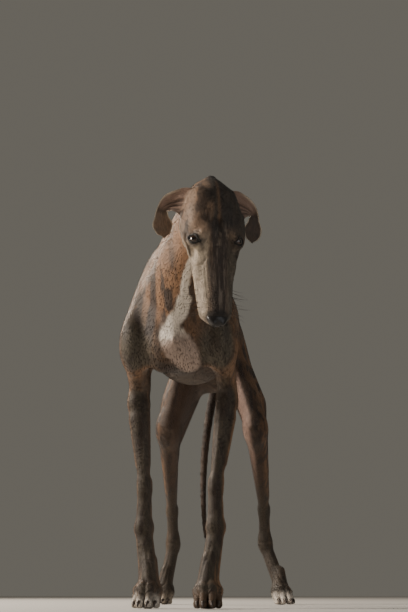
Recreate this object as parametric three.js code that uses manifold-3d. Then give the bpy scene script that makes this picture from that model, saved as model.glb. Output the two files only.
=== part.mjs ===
// A life-size greyhound that stands still, its hind feet spread, its head hanging and turned a
// little to its left.
// Millimetres, +Z up. The dog faces -Y, its left side is +X, and the floor is z = 0.
// Each sub-part is a surface swept in rings round its own axis, out to where a smooth body of
// muscles and bones ends, and is then cut clear of the sub-parts that it meets.
import * as THREE from "three";
import { mergeVertices } from "three/addons/utils/BufferGeometryUtils.js";
import Module from "manifold-3d";

const wasm = await Module();
wasm.setup();

// Driving dimensions
const WITHERS = 718; // floor to the top of the shoulder blades
const BRISKET = 428; // floor to the lowest point of the chest
const BACK = WITHERS - 20; // floor to the dip behind the withers
const LOIN = WITHERS - 8; // floor to the top of the arched loin
const TUCK = 540; // floor to the highest point of the belly line
const HEAD_LENGTH = 274; // back of the skull to the nose tip
const ELBOW = 388; // floor to the elbow
const CARPUS = 148; // floor to the wrist
const STIFLE = 402; // floor to the knee
const HOCK = 152; // floor to the hock joint
const TAIL_TIP = 158; // floor to the tail's tip
const GAP = 0.35; // between sub-parts that touch
const SINK = 4; // how far a fillet's foot starts below the surface that it grows from

// Vector helpers on plain arrays
const add = (p, q) => [p[0] + q[0], p[1] + q[1], p[2] + q[2]];
const subtract = (p, q) => [p[0] - q[0], p[1] - q[1], p[2] - q[2]];
const scale = (p, k) => [p[0] * k, p[1] * k, p[2] * k];
const dot = (p, q) => p[0] * q[0] + p[1] * q[1] + p[2] * q[2];
const cross = (p, q) => [
  p[1] * q[2] - p[2] * q[1],
  p[2] * q[0] - p[0] * q[2],
  p[0] * q[1] - p[1] * q[0],
];
const unit = (p) => scale(p, 1 / Math.hypot(...p));
const mix = (a, b, t) => a + (b - a) * t;
const between = (p, q, t) => p.map((v, i) => mix(v, q[i], t));
const clamp = (v, low, high) => Math.min(high, Math.max(low, v));

// Smooth bodies: each is a function of a point that is negative inside
function bar(from, to, r0, r1, flat = [1, 1, 1]) {
  const along = subtract(to, from);
  const length2 = Math.max(dot(along, along), 1e-9);
  const thinnest = Math.min(...flat);
  return (p) => {
    const t = clamp(dot(subtract(p, from), along) / length2, 0, 1);
    const off = subtract(p, add(from, scale(along, t)));
    const reach = Math.hypot(off[0] / flat[0], off[1] / flat[1], off[2] / flat[2]);
    return (reach - mix(r0, r1, t)) * thinnest;
  };
}

const ball = (at, radii) => bar(at, at, 1, 1, radii);

function smoothMin(a, b, soft) {
  const h = Math.max(soft - Math.abs(a - b), 0) / soft;
  return Math.min(a, b) - (h * h * soft) / 4;
}

// One body from [body, softness] pairs, each melted into those before it.
function melt(pieces) {
  return (p) =>
    pieces.reduce((sum, [body, soft]) => {
      const here = body(p);
      return sum === null ? here : smoothMin(sum, here, soft);
    }, null);
}

// Catmull-Rom through the columns of a table whose first column is the place along the axis.
function columnsAt(table, s) {
  const last = table.length - 1;
  const at = clamp(s, table[0][0], table[last][0]);
  let i = 0;
  while (i < last - 1 && at > table[i + 1][0]) i += 1;
  const [a, b] = [table[i], table[i + 1]];
  const before = table[Math.max(i - 1, 0)];
  const after = table[Math.min(i + 2, last)];
  const span = b[0] - a[0];
  const t = (at - a[0]) / span;
  return a.slice(1).map((from, k) => {
    const to = b[k + 1];
    const leave = ((to - before[k + 1]) / Math.max(b[0] - before[0], 1e-9)) * span;
    const arrive = ((after[k + 1] - from) / Math.max(after[0] - a[0], 1e-9)) * span;
    const t2 = t * t;
    const t3 = t2 * t;
    return from * (2 * t3 - 3 * t2 + 1) + leave * (t3 - 2 * t2 + t)
      + to * (3 * t2 - 2 * t3) + arrive * (t3 - t2);
  });
}

// A body of superellipse sections. Table rows: place along the axis, top, bottom, half width,
// height of the widest line, roundness of the upper and of the lower half.
// split(p) gives [place along the axis, sideways, height].
function hull(table, split) {
  return (p) => {
    const [s, across, height] = split(p);
    const [top, bottom, half, wide, above, below] = columnsAt(table, s);
    const up = height - wide;
    const power = up > 0 ? above : below;
    const rise = Math.max(up > 0 ? top - wide : wide - bottom, 1);
    const share = (Math.abs(across / Math.max(half, 1)) ** power + Math.abs(up / rise) ** power)
      ** (1 / power);
    const reach = Math.hypot(across, up);
    const past = Math.max(table[0][0] - s, s - table[table.length - 1][0], 0);
    return (share < 1e-6 ? -Math.min(half, rise) : reach - reach / share) + past;
  };
}

// Closed meshes and solids
function solidFrom(positions, triangles) {
  const made = new wasm.Manifold(
    new wasm.Mesh({
      numProp: 3,
      vertProperties: new Float32Array(positions),
      triVerts: new Uint32Array(triangles),
    }),
  );
  return made;
}

function solidOf(source) {
  const geometry = source.clone();
  geometry.deleteAttribute("normal");
  geometry.deleteAttribute("uv");
  const merged = mergeVertices(geometry, 1e-4);
  return solidFrom(merged.attributes.position.array, merged.index.array);
}

function geometryOf(solid) {
  const mesh = solid.getMesh();
  const geometry = new THREE.BufferGeometry();
  geometry.setAttribute("position", new THREE.BufferAttribute(mesh.vertProperties, 3));
  geometry.setIndex(new THREE.BufferAttribute(mesh.triVerts, 1));
  geometry.computeVertexNormals();
  return geometry;
}

const largest = (solid) => solid.decompose().sort((a, b) => b.volume() - a.volume())[0];
const joined = (solids) => solids.reduce((all, next) => all.add(next));

// How far from the axis, in one direction, the body's surface is.
function surfaceAlong(body, from, direction, reach) {
  let out = 0;
  let near = 0;
  while (out < reach) {
    const depth = body(add(from, scale(direction, out)));
    if (depth > 0) break;
    near = out;
    out += Math.max(-depth * 0.7, 0.8);
  }
  let far = Math.min(out, reach);
  for (let i = 0; i < 14; i += 1) {
    const middle = (near + far) / 2;
    if (body(add(from, scale(direction, middle))) > 0) far = middle;
    else near = middle;
  }
  return far;
}

// Rings of points round an axis, joined into one closed surface with a fan over each end.
// rings: [{ at, normal, ahead }], where ahead is the direction of the ring's first point.
function ringSurface(rings, sides, radiusAt) {
  const positions = [];
  rings.forEach(({ at, normal, ahead }, i) => {
    const first = unit(subtract(ahead, scale(normal, dot(ahead, normal))));
    const second = cross(normal, first);
    for (let j = 0; j < sides; j += 1) {
      const turn = (2 * Math.PI * j) / sides;
      const direction = add(scale(first, Math.cos(turn)), scale(second, Math.sin(turn)));
      positions.push(...add(at, scale(direction, radiusAt(i, direction, at))));
    }
  });
  const triangles = [];
  for (let i = 0; i < rings.length - 1; i += 1) {
    for (let j = 0; j < sides; j += 1) {
      const next = (j + 1) % sides;
      const [a, b] = [i * sides + j, i * sides + next];
      const [c, d] = [a + sides, b + sides];
      triangles.push(a, b, d, a, d, c);
    }
  }
  const [start, end] = [rings.length * sides, rings.length * sides + 1];
  positions.push(...rings[0].at, ...rings[rings.length - 1].at);
  for (let j = 0; j < sides; j += 1) {
    const next = (j + 1) % sides;
    const lastRow = (rings.length - 1) * sides;
    triangles.push(start, next, j, end, lastRow + j, lastRow + next);
  }
  return solidFrom(positions, triangles);
}

// Rings along a smooth curve through the given points, spaced by `spread` of the way.
function ringsAlong(points, count, ahead, spread = (t) => t) {
  const through = points.map((p) => new THREE.Vector3(...p));
  const curve = new THREE.CatmullRomCurve3(through, false, "centripetal");
  return Array.from({ length: count }, (_, i) => {
    const t = spread(i / (count - 1));
    return {
      at: curve.getPointAt(t).toArray(),
      normal: curve.getTangentAt(t).toArray(),
      ahead,
    };
  });
}

// The body swept round its axis, with `swell` added all over for cutting a neighbour clear of it.
function sweep(body, rings, sides, reach, swell = 0) {
  const grown = rings.map((ring, i) => {
    const end = i === 0 ? -swell : i === rings.length - 1 ? swell : 0;
    return { ...ring, at: add(ring.at, scale(ring.normal, end)) };
  });
  return ringSurface(grown, sides, (i, direction) => {
    return surfaceAlong(body, rings[i].at, direction, reach) + swell;
  });
}

// Trunk: y, top, bottom, half width, height of the widest line, roundness above and below
const TRUNK = [
  [-438, 480, 468, 4, 474, 2, 2],
  [-431, 500, 456, 18, 474, 2, 2],
  [-417, 530, 442, 40, 480, 2, 2],
  [-396, 590, BRISKET + 6, 58, 500, 2, 1.9],
  [-360, 664, BRISKET + 2, 74, 520, 1.9, 1.9],
  [-310, WITHERS - 8, BRISKET, 84, 540, 1.7, 1.9],
  [-262, WITHERS, BRISKET, 90, 548, 1.6, 1.9],
  [-190, BACK, BRISKET + 2, 95, 556, 1.8, 1.9],
  [-110, BACK - 2, BRISKET + 10, 95, 566, 2, 2],
  [-30, BACK + 4, BRISKET + 32, 88, 586, 2.1, 2],
  [50, LOIN, BRISKET + 74, 76, 610, 2.1, 2],
  [120, LOIN, TUCK - 12, 66, 628, 2.1, 2],
  [190, LOIN - 10, TUCK, 66, 624, 2.1, 2],
  [250, LOIN - 24, TUCK - 14, 74, 606, 2.2, 2],
  [310, LOIN - 46, TUCK - 34, 76, 590, 2.2, 2],
  [360, LOIN - 76, TUCK - 34, 64, 576, 2.1, 2],
  [392, LOIN - 102, TUCK - 22, 44, 572, 2, 2],
  [408, LOIN - 124, TUCK - 2, 18, 568, 2, 2],
];
const trunkShape = hull(TRUNK, (p) => [p[1], p[0], p[2]]);

// Bony points and long muscles that stand out of the trunk, on both sides
const mirrored = (p) => [Math.abs(p[0]), p[1], p[2]];
const hipBone = ball([40, 226, LOIN - 34], [22, 26, 20]);
const buttock = ball([30, 376, 572], [18, 22, 24]);
const backMuscle = bar([24, -150, BACK - 24], [26, 210, LOIN - 30], 26, 26, [1, 1, 0.9]);
const breast = ball([28, -380, 472], [34, 34, 44]);
const trunkSide = melt([[hipBone, 1], [buttock, 20], [backMuscle, 20], [breast, 20]]);
const trunk = (p) => smoothMin(trunkShape(p), trunkSide(mirrored(p)), 26);

const TRUNK_ENDS = [-437, 407];
const TRUNK_RINGS = 32;
const trunkRings = Array.from({ length: TRUNK_RINGS }, (_, i) => {
  const t = i / (TRUNK_RINGS - 1);
  const eased = t - 0.09 * Math.sin(2 * Math.PI * t);
  const y = mix(TRUNK_ENDS[0], TRUNK_ENDS[1], eased);
  const height = columnsAt(TRUNK, y)[3];
  return { at: [0, y, height], normal: [0, 1, 0], ahead: [0, 0, 1] };
});
const TRUNK_SIDES = 24;
const trunkSwept = (swell) => sweep(trunk, trunkRings, TRUNK_SIDES, 420, swell);

// Head: built in its own frame, where x runs from the back of the skull to the nose, y to the
// dog's left and z out of the forehead, then hung from the neck.
const headGroup = new THREE.Group();
const HEAD_PITCH = THREE.MathUtils.degToRad(82); // nose below the horizontal
const HEAD_YAW = THREE.MathUtils.degToRad(21); // face turned to the dog's left
const HEAD_ROLL = THREE.MathUtils.degToRad(2);
const SKULL_BACK = [78, -522, 746]; // where the head frame's origin hangs
const headTurn = new THREE.Matrix4()
  .makeRotationZ(HEAD_YAW - Math.PI / 2)
  .multiply(new THREE.Matrix4().makeRotationY(HEAD_PITCH))
  .multiply(new THREE.Matrix4().makeRotationX(HEAD_ROLL));
headGroup.quaternion.setFromRotationMatrix(headTurn);
headGroup.position.set(...SKULL_BACK);
headGroup.updateMatrixWorld(true);

// Head sections: x, top, bottom, half width, height of the widest line, roundness above, below
const L = HEAD_LENGTH;
const HEAD = [
  [-4, 0, -22, 8, -10, 2, 2],
  [5, 14, -36, 20, -10, 2, 2],
  [24, 29, -47, 36, -8, 2, 2],
  [50, 38, -53, 47, -8, 2, 2],
  [82, 40, -53, 54, -8, 2, 2],
  [112, 34, -49, 53.5, -8, 1.9, 2],
  [136, 26, -45, 45, -10, 1.9, 2.1],
  [160, 20, -40, 36, -12, 2, 2.2],
  [188, 15.5, -37, 32, -14, 2.1, 2.2],
  [216, 12, -35, 30, -14, 2.2, 2.2],
  [244, 10, -32, 27, -13, 2.2, 2.2],
  [L - 12, 8, -28, 21.5, -11, 2.2, 2.1],
  [L - 4, 4, -20, 12, -9, 2, 2],
  [L, -2, -12, 4, -8, 2, 2],
];
const headShape = hull(HEAD, (p) => [p[0], p[1], p[2]]);
const EYE = { at: [123, 36, 11], radius: 11.5, gaze: unit([0.16, 0.56, 0.8]) };
// The almond that the lids leave open, and the way from its outer corner to its inner one
const LID = { thick: 2.4, width: 22, height: 12, corners: [0.5, -1, 0.35] };
const headSide = melt([
  [bar([40, 20, 12], [90, 28, 12], 19, 21), 1], // temple muscle
  [bar([66, 48, -10], [118, 44, -6], 9, 8), 10], // cheek arch
  [bar([80, 37, -26], [108, 35, -22], 20, 16), 12], // jaw muscle
  [bar([104, 20, 24], [124, 32, 20], 11, 7), 10], // brow
  [ball([121, 34, 8], [19, 14, 14]), 8], // rim of the socket
  [bar([138, 36, -8], [182, 27, -8], 10, 8), 10], // cheek below the eye
  [bar([162, 26, -20], [L - 24, 19, -17], 10, 9), 8], // upper lip
  [bar([100, 26, -36], [L - 38, 13, -29], 10, 7.5), 8], // lower jaw
]);
const noseBridge = bar([142, 0, 12], [L - 20, 0, 2], 9, 8);
const chin = ball([L - 20, 0, -24], [12, 11, 9]);
const crest = bar([-3, 0, 0], [34, 0, 24], 7, 9); // ridge at the back of the skull
const mirroredHead = (p) => [p[0], Math.abs(p[1]), p[2]];
const socket = ball([143, 42, 2], [13, 8, 8]);
const foreheadFurrow = bar([62, 0, 52], [118, 0, 45], 9, 8);
const headBody = (p) => {
  const middle = smoothMin(smoothMin(headShape(p), noseBridge(p), 8), chin(p), 8);
  const crested = smoothMin(middle, crest(p), 14);
  const whole = smoothMin(crested, headSide(mirroredHead(p)), 9);
  const furrowed = -smoothMin(-whole, foreheadFurrow(p), 8);
  return -smoothMin(-furrowed, socket(mirroredHead(p)), 8);
};
const HEAD_RINGS = 31;
const headRings = Array.from({ length: HEAD_RINGS }, (_, i) => {
  const t = i / (HEAD_RINGS - 1);
  const eased = t + 0.05 * Math.sin(2 * Math.PI * t);
  const x = mix(-3, L - 1, eased);
  return { at: [x, 0, columnsAt(HEAD, x)[3]], normal: [1, 0, 0], ahead: [0, 0, 1] };
});
const HEAD_SIDES = 26;
const headSwept = (swell) => sweep(headBody, headRings, HEAD_SIDES, 120, swell);

// Parts of the face
const mirrorY = (p, side) => [p[0], p[1] * side, p[2]];

function ellipsoid(at, radii, turn = [0, 0, 0], detail = [16, 10]) {
  const geometry = new THREE.SphereGeometry(1, ...detail);
  geometry.scale(...radii);
  geometry.rotateX(turn[0]);
  geometry.rotateY(turn[1]);
  geometry.rotateZ(turn[2]);
  geometry.translate(...at);
  return solidOf(geometry);
}

// A tapered rod through the given points, its radius read from [first, middle, last].
function rod(points, radii, sides, count, ahead = [0, 0, 1]) {
  const rings = ringsAlong(points, count, ahead);
  return ringSurface(rings, sides, (i) => {
    const t = i / (count - 1);
    return t < 0.5 ? mix(radii[0], radii[1], 2 * t) : mix(radii[1], radii[2], 2 * t - 1);
  });
}

// The open almond between the lids, as a prism that looks out along the gaze.
function lidOpening(side) {
  const half = LID.width / 2;
  const shape = new THREE.Shape();
  shape.moveTo(-half, 0);
  shape.quadraticCurveTo(0, LID.height, half, 0);
  shape.quadraticCurveTo(0, -LID.height * 0.85, -half, 0);
  const geometry = new THREE.ExtrudeGeometry(shape, { depth: 30, bevelEnabled: false, curveSegments: 8 });
  const gaze = new THREE.Vector3(...mirrorY(EYE.gaze, side));
  const corner = new THREE.Vector3(...mirrorY(LID.corners, side)).projectOnPlane(gaze).normalize();
  const across = new THREE.Vector3().crossVectors(gaze, corner);
  const turn = new THREE.Matrix4().makeBasis(corner, across, gaze);
  geometry.applyMatrix4(turn.setPosition(...mirrorY(EYE.at, side)));
  return solidOf(geometry);
}

// The mouth: a thin wedge that follows the lip from below the cheek to under the nose.
function mouthCut() {
  const side = (k) => [
    [148, 41 * k, -27],
    [172, 36 * k, -25.5],
    [206, 32 * k, -24.5],
    [240, 28 * k, -23],
    [L - 14, 20 * k, -19],
    [L - 6, 7 * k, -16],
  ];
  const route = [...side(1), [L - 4, 0, -15.5], ...side(-1).reverse()];
  return rod(route, [1.3, 1.6, 1.3], 4, 22);
}

const nostril = (side) =>
  rod(
    [
      [L + 6, 6 * side, -3],
      [L - 3, 6.5 * side, -3],
      [L - 9, 11 * side, -5],
      [L - 12, 17 * side, -7],
    ],
    [2.6, 2.8, 1.4],
    7,
    7,
  );

const eyeball = (side, swell) => {
  const radius = EYE.radius + swell;
  return ellipsoid(mirrorY(EYE.at, side), [radius, radius, radius], [0, 0, 0], [16, 10]);
};

// The nose leather: a rounded pad whose back is cut off flat where the muzzle's hair starts
const NOSE_BACK = L - 15;
const padWhole = (swell) =>
  ellipsoid([L - 9, 0, -3], [13.5 + swell, 17.5 + swell, 12.5 + swell], [0, 0.16, 0], [14, 8]);
const block = (low, high) => {
  const size = subtract(high, low);
  const geometry = new THREE.BoxGeometry(...size);
  geometry.translate(...between(low, high, 0.5));
  return solidOf(geometry);
};
const behindNose = block([0, -60, -60], [NOSE_BACK, 60, 60]);
const SIDES = [1, -1];
const lids = joined(SIDES.map((side) => eyeball(side, LID.thick)));
const nostrils = joined([nostril(1), nostril(-1)]);
const noseSolid = largest(padWhole(0).subtract(behindNose).subtract(nostrils));
const noseSpace = padWhole(GAP).subtract(block([0, -60, -60], [NOSE_BACK - GAP, 60, 60]));
const eyeSpaces = joined(SIDES.map((side) => eyeball(side, GAP).add(lidOpening(side))));
const headWhole = headSwept(0).add(lids);
const headCuts = joined([mouthCut(), noseSpace, eyeSpaces]);

// Ears: a leaf that leaves the skull as an open cup, narrows where it folds, and hangs
const EAR = [
  // middle of the leaf, half width, depth of the cup, facing
  { at: [44, 34, 2], half: 26, cup: 8, face: [0, 0.72, 0.7] },
  { at: [40, 53, -11], half: 24, cup: 14, face: [-0.05, 0.6, 0.8] },
  { at: [37, 70, -24], half: 19, cup: 15, face: [-0.1, 0.5, 0.86] },
  { at: [41, 83, -34], half: 13, cup: 10, face: [0.1, 0.35, 0.93] },
  { at: [54, 87, -40], half: 12, cup: 5, face: [0.05, 0.25, 0.95] },
  { at: [68, 86, -42], half: 14, cup: 3, face: [0, 0.2, 0.97] },
  { at: [80, 84, -43], half: 12, cup: 2, face: [0, 0.2, 0.97] },
  { at: [88, 83, -43], half: 7, cup: 1, face: [0, 0.2, 0.97] },
  { at: [92, 83, -43], half: 1.5, cup: 0, face: [0, 0.2, 0.97] },
];
const EAR_THICK = 2.6;
const EAR_STEPS = 14;
const EAR_ACROSS = 7;

function earLeaf(side) {
  const table = EAR.map((row, i) => [i, ...row.at, row.half, row.cup, ...row.face]);
  const grid = [];
  for (let i = 0; i < EAR_STEPS; i += 1) {
    const s = ((EAR.length - 1) * i) / (EAR_STEPS - 1);
    const here = columnsAt(table, s);
    const ahead = columnsAt(table, s + 0.05);
    const behind = columnsAt(table, s - 0.05);
    const along = unit(subtract(ahead.slice(0, 3), behind.slice(0, 3)));
    const face = unit(here.slice(5, 8));
    const wide = unit(cross(along, face));
    const out = cross(wide, along);
    const [, , , half, cup] = here;
    for (let j = 0; j < EAR_ACROSS; j += 1) {
      const k = mix(-1, 1, j / (EAR_ACROSS - 1));
      const sunk = cup * (k * k - 0.5);
      const middle = add(add(here.slice(0, 3), scale(wide, half * k)), scale(out, sunk));
      const tilt = unit(subtract(scale(out, half), scale(wide, 2 * cup * k)));
      const edge = EAR_THICK * (1 - 0.45 * k * k) * 0.5;
      grid.push({ front: add(middle, scale(tilt, edge)), back: add(middle, scale(tilt, -edge)) });
    }
  }
  const positions = [...grid.map((g) => g.front), ...grid.map((g) => g.back)]
    .flatMap((p) => mirrorY(p, side));
  const half = grid.length;
  const triangles = [];
  const quad = (a, b, c, d) => triangles.push(a, b, c, a, c, d);
  const at = (i, j) => i * EAR_ACROSS + j;
  for (let i = 0; i < EAR_STEPS - 1; i += 1) {
    for (let j = 0; j < EAR_ACROSS - 1; j += 1) {
      quad(at(i, j), at(i, j + 1), at(i + 1, j + 1), at(i + 1, j));
      quad(half + at(i, j), half + at(i + 1, j), half + at(i + 1, j + 1), half + at(i, j + 1));
    }
    const [near, far] = [0, EAR_ACROSS - 1];
    quad(at(i, near), at(i + 1, near), half + at(i + 1, near), half + at(i, near));
    quad(at(i, far), half + at(i, far), half + at(i + 1, far), at(i + 1, far));
  }
  for (let j = 0; j < EAR_ACROSS - 1; j += 1) {
    const tip = EAR_STEPS - 1;
    quad(at(0, j), half + at(0, j), half + at(0, j + 1), at(0, j + 1));
    quad(at(tip, j), at(tip, j + 1), half + at(tip, j + 1), half + at(tip, j));
  }
  if (side < 0) {
    for (let i = 0; i < triangles.length; i += 3) {
      [triangles[i + 1], triangles[i + 2]] = [triangles[i + 2], triangles[i + 1]];
    }
  }
  return solidFrom(positions, triangles);
}

// Neck: from between the shoulders to the back of the skull, in the dog's frame
const NECK = [
  [-4, -286, 566],
  [14, -364, 610],
  [40, -430, 654],
  [62, -488, 694],
  [76, -526, 716],
];
const neckBody = melt([
  [bar([-4, -310, 636], [70, -508, 736], 66, 34, [0.96, 1, 1]), 1], // nape
  [bar([-2, -350, 574], [66, -490, 690], 78, 48, [0.93, 1, 1]), 30], // throat side
  [bar([-2, -388, 516], [62, -482, 662], 40, 32, [1, 1, 1]), 26], // windpipe line
  [bar([-4, -330, 536], [26, -430, 606], 68, 48, [1.05, 1, 1]), 30], // base over the breast
]);
const neckWithTrunk = (p) => smoothMin(neckBody(p), trunk(p) + SINK, 30);
const NECK_SIDES = 20;
const neckRings = ringsAlong(NECK, 16, [0, -1, 1]);

// Tail
const TAIL = [
  [0, 372, 606],
  [0, 404, 588],
  [-6, 430, 540],
  [-22, 441, 470],
  [-34, 440, 380],
  [-38, 434, 290],
  [-36, 430, 215],
  [-33, 440, TAIL_TIP + 4],
];

// Legs: side is 1 for the dog's left and -1 for its right
const FORE = {
  left: { side: 1, elbow: [80, -292, ELBOW], carpus: [65, -322, CARPUS], foot: [54, -346], turn: 4 },
  right: { side: -1, elbow: [-82, -282, ELBOW], carpus: [-72, -298, CARPUS], foot: [-58, -318], turn: -2 },
};
const HIND = {
  left: { side: 1, stifle: [108, 214, STIFLE], hock: [115, 412, HOCK], foot: [152, 392], turn: 20 },
  right: { side: -1, stifle: [-100, 222, STIFLE], hock: [-112, 428, HOCK], foot: [-128, 410], turn: -6 },
};
const KNUCKLES = 44; // height of the toes' roots
const LEG_SIDES = 12;

function foreBody({ side, elbow, carpus, foot }) {
  const put = (x, y, z) => [x * side, y, z];
  const nearElbow = (x, y, z) => add(elbow, [x * side, y, z]);
  const pastern = [foot[0], foot[1], KNUCKLES];
  return melt([
    [bar(put(40, -262, 682), put(84, -364, 500), 22, 30, [0.7, 1.35, 1]), 1], // shoulder blade
    [bar(put(60, -250, 640), put(80, -330, 520), 22, 30, [0.7, 1.5, 1]), 30], // blade's back
    [ball(put(78, -372, 476), [25, 32, 38]), 22], // point of the shoulder
    [bar(put(82, -356, 464), nearElbow(4, -4, 24), 34, 24, [0.72, 1.1, 1]), 24], // upper arm
    [bar(put(72, -262, 560), nearElbow(4, 20, 16), 36, 20, [0.62, 1.2, 1]), 24], // triceps
    [ball(nearElbow(4, 24, 2), [10, 11, 14]), 10], // point of the elbow
    [ball(nearElbow(12, -6, -4), [13, 20, 22]), 12], // outer side of the elbow
    [bar(nearElbow(2, -4, -10), add(carpus, [0, 2, 70]), 23, 13, [0.86, 1.08, 1]), 14], // forearm
    [bar(nearElbow(4, -12, -40), between(elbow, carpus, 0.52), 17, 11), 12], // its front muscle
    [bar(add(carpus, [0, 4, 80]), add(carpus, [0, 0, 4]), 13, 15, [1.05, 1, 1]), 12],
    [ball(carpus, [18, 17, 18]), 8], // wrist
    [ball(add(carpus, [6 * side, 20, -10]), [7, 9, 10]), 6], // stopper pad
    [bar(add(carpus, [0, 0, -10]), pastern, 15, 16.5, [1.1, 0.95, 1]), 10], // pastern
    [ball([foot[0], foot[1] - 10, 27], [19, 26, 20]), 12], // root of the toes
  ]);
}

function hindBody({ side, stifle, hock, foot }) {
  const put = (x, y, z) => [x * side, y, z];
  const near = (p, x, y, z) => add(p, [x * side, y, z]);
  const pastern = [foot[0], foot[1], KNUCKLES];
  return melt([
    [bar(put(42, 262, 620), near(stifle, -6, 10, 16), 50, 38, [0.6, 1.2, 1]), 1], // thigh
    [bar(put(42, 336, 580), near(stifle, -4, 74, 20), 48, 32, [0.62, 1.1, 1]), 30], // back of it
    [bar(put(60, 290, 540), near(stifle, -6, 50, 60), 44, 36, [0.66, 1.2, 1]), 30], // its fullness
    [bar(put(40, 380, 566), near(stifle, 0, 100, -40), 30, 14, [0.75, 1, 1]), 24], // hamstring
    [ball(near(stifle, 0, -2, 0), [26, 28, 34]), 20], // knee
    [bar(near(stifle, 0, 22, -16), near(hock, 0, -22, 70), 31, 14, [0.8, 1, 1]), 20], // shin
    [bar(near(hock, 0, -24, 74), near(hock, 0, -2, 8), 13.5, 14), 14], // its lower end
    [bar(near(stifle, 2, 60, -10), near(hock, 2, -34, 110), 24, 12, [0.85, 1, 1]), 18], // calf
    [bar(near(hock, 0, -20, 110), near(hock, 0, 25, 16), 8, 8), 14], // tendon
    [bar(near(hock, 0, 26, 18), near(hock, 0, 12, -16), 10.5, 12), 10], // heel bone
    [ball(hock, [16, 18, 22]), 10],
    [bar(near(hock, 0, 8, -10), pastern, 14, 15, [1.1, 1, 1]), 12], // rear pastern
    [ball([foot[0], foot[1] - 10, 26], [18, 24, 19]), 12], // root of the toes
  ]);
}

// A paw in its own frame: toes forward along -y, the floor at z = 0
const TOES = [
  // sideways and forward of the root, of the knuckle and of the tip, and the toe's thickness
  { root: [-7, 2], knuckle: [-7.5, -27], tip: [-8, -53], high: 35, thick: 8.2 },
  { root: [7, 2], knuckle: [7.5, -27], tip: [8, -53], high: 35, thick: 8.2 },
  { root: [-13, 4], knuckle: [-17.5, -16], tip: [-19, -38], high: 30, thick: 7.7 },
  { root: [13, 4], knuckle: [17.5, -16], tip: [19, -38], high: 30, thick: 7.7 },
];
const FLOOR_FLAT = 1.2; // how much of each pad the floor takes off

function toe({ root, knuckle, tip, high, thick }) {
  const low = thick - FLOOR_FLAT;
  const line = [
    [root[0], root[1], KNUCKLES - 6],
    [knuckle[0], knuckle[1], high],
    [tip[0], tip[1] + 8, low + 5],
    [tip[0], tip[1] - thick + 3, low - 1],
  ];
  const body = melt([
    [bar(line[0], line[1], thick * 0.95, thick * 1.05), 1],
    [bar(line[1], [tip[0], tip[1] + 4, low + 6], thick * 1.05, thick * 0.92), 6],
    [bar([tip[0], tip[1] + 10, low], [tip[0], tip[1] + 1, low], thick, thick * 0.92), 5],
  ]);
  return sweep(body, ringsAlong(line, 6, [0, 0, 1]), 7, 16);
}

function claw({ tip, thick }) {
  const start = [tip[0], tip[1] - thick + 5, 12];
  const points = [start, add(start, [0, -7, -1]), add(start, [0, -12.5, -8])];
  return rod(points, [3.4, 2.8, 0.7], 4, 4);
}

function paw() {
  const pad = ellipsoid([0, -2, 12], [16.5, 18, 13.2], [0.15, 0, 0], [10, 6]);
  const web = ellipsoid([0, -20, 19], [20, 22, 13], [0.2, 0, 0], [10, 6]);
  const whole = joined([pad, web, ...TOES.map(toe), ...TOES.map(claw)]);
  return whole.subtract(block([-80, -120, -40], [80, 80, 0]));
}

const pawSolid = paw();
const placedPaw = ({ foot, turn }, raise = [1, 1, 1]) => {
  const matrix = new THREE.Matrix4()
    .makeTranslation(foot[0], foot[1] - 2, 0)
    .multiply(new THREE.Matrix4().makeRotationZ(THREE.MathUtils.degToRad(turn)))
    .multiply(new THREE.Matrix4().makeScale(...raise));
  return pawSolid.transform(matrix.toArray());
};

function foreLeg(name) {
  const leg = FORE[name];
  const { side, elbow, carpus, foot } = leg;
  const body = foreBody(leg);
  const onTrunk = (p) => smoothMin(body(p), trunk(p) + SINK, 30);
  const axis = [
    [50 * side, -276, 672],
    [74 * side, -310, 590],
    [80 * side, -322, 500],
    add(elbow, [0, -8, 40]),
    add(elbow, [0, -4, -30]),
    add(carpus, [0, 2, 60]),
    add(carpus, [0, 1, 0]),
    [foot[0], foot[1], KNUCKLES],
    [foot[0], foot[1] - 6, 14],
  ];
  const blend = (p) => (p[2] > ELBOW ? onTrunk(p) : body(p));
  const rings = ringsAlong(axis, 31, [0, -1, 0]);
  return sweep(blend, rings, LEG_SIDES, 110).add(placedPaw(leg));
}

function hindLeg(name) {
  const leg = HIND[name];
  const { side, stifle, hock, foot } = leg;
  const body = hindBody(leg);
  const onTrunk = (p) => smoothMin(body(p), trunk(p) + SINK, 34);
  const axis = [
    [56 * side, 296, 650],
    [66 * side, 296, 580],
    [82 * side, 288, 500],
    add(stifle, [-4 * side, 44, 20]),
    add(stifle, [0, 72, -60]),
    add(hock, [0, -34, 76]),
    add(hock, [0, 2, 6]),
    add(hock, [0, 6, -34]),
    [foot[0], foot[1], KNUCKLES],
    [foot[0], foot[1] - 6, 14],
  ];
  const blend = (p) => (p[2] > STIFLE ? onTrunk(p) : body(p));
  const rings = ringsAlong(axis, 33, [0, -1, 0]);
  return sweep(blend, rings, LEG_SIDES, 130).add(placedPaw(leg, [0.94, 0.96, 0.96]));
}

// Put together: each sub-part is cut clear of those before it
const trunkSolid = trunkSwept(0);
const trunkSpace = trunkSwept(GAP);
const headMatrix = headGroup.matrixWorld.toArray();
const headSpace = headSwept(GAP).transform(headMatrix);
const neckWhole = sweep(neckWithTrunk, neckRings, NECK_SIDES, 150);
const neckSolid = largest(neckWhole.subtract(trunkSpace).subtract(headSpace));
const neckSpace = sweep(neckWithTrunk, neckRings, NECK_SIDES, 150, GAP);
const TAIL_RADII = [15, 10.5, 4.5]; // at its root, its middle and its tip
const tailWhole = (swell) => rod(TAIL, TAIL_RADII.map((r) => r + swell), 7, 24, [1, 0, 0]);
const tailSpace = tailWhole(GAP);
const tailSolid = largest(tailWhole(0).subtract(trunkSpace));

const COLOURS = {
  fawn: 0x8d7766,
  grey: 0x6e655d,
  pale: 0xc9c0b4,
  leather: 0x1d1b1b,
  eye: 0x241712,
};

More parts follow.
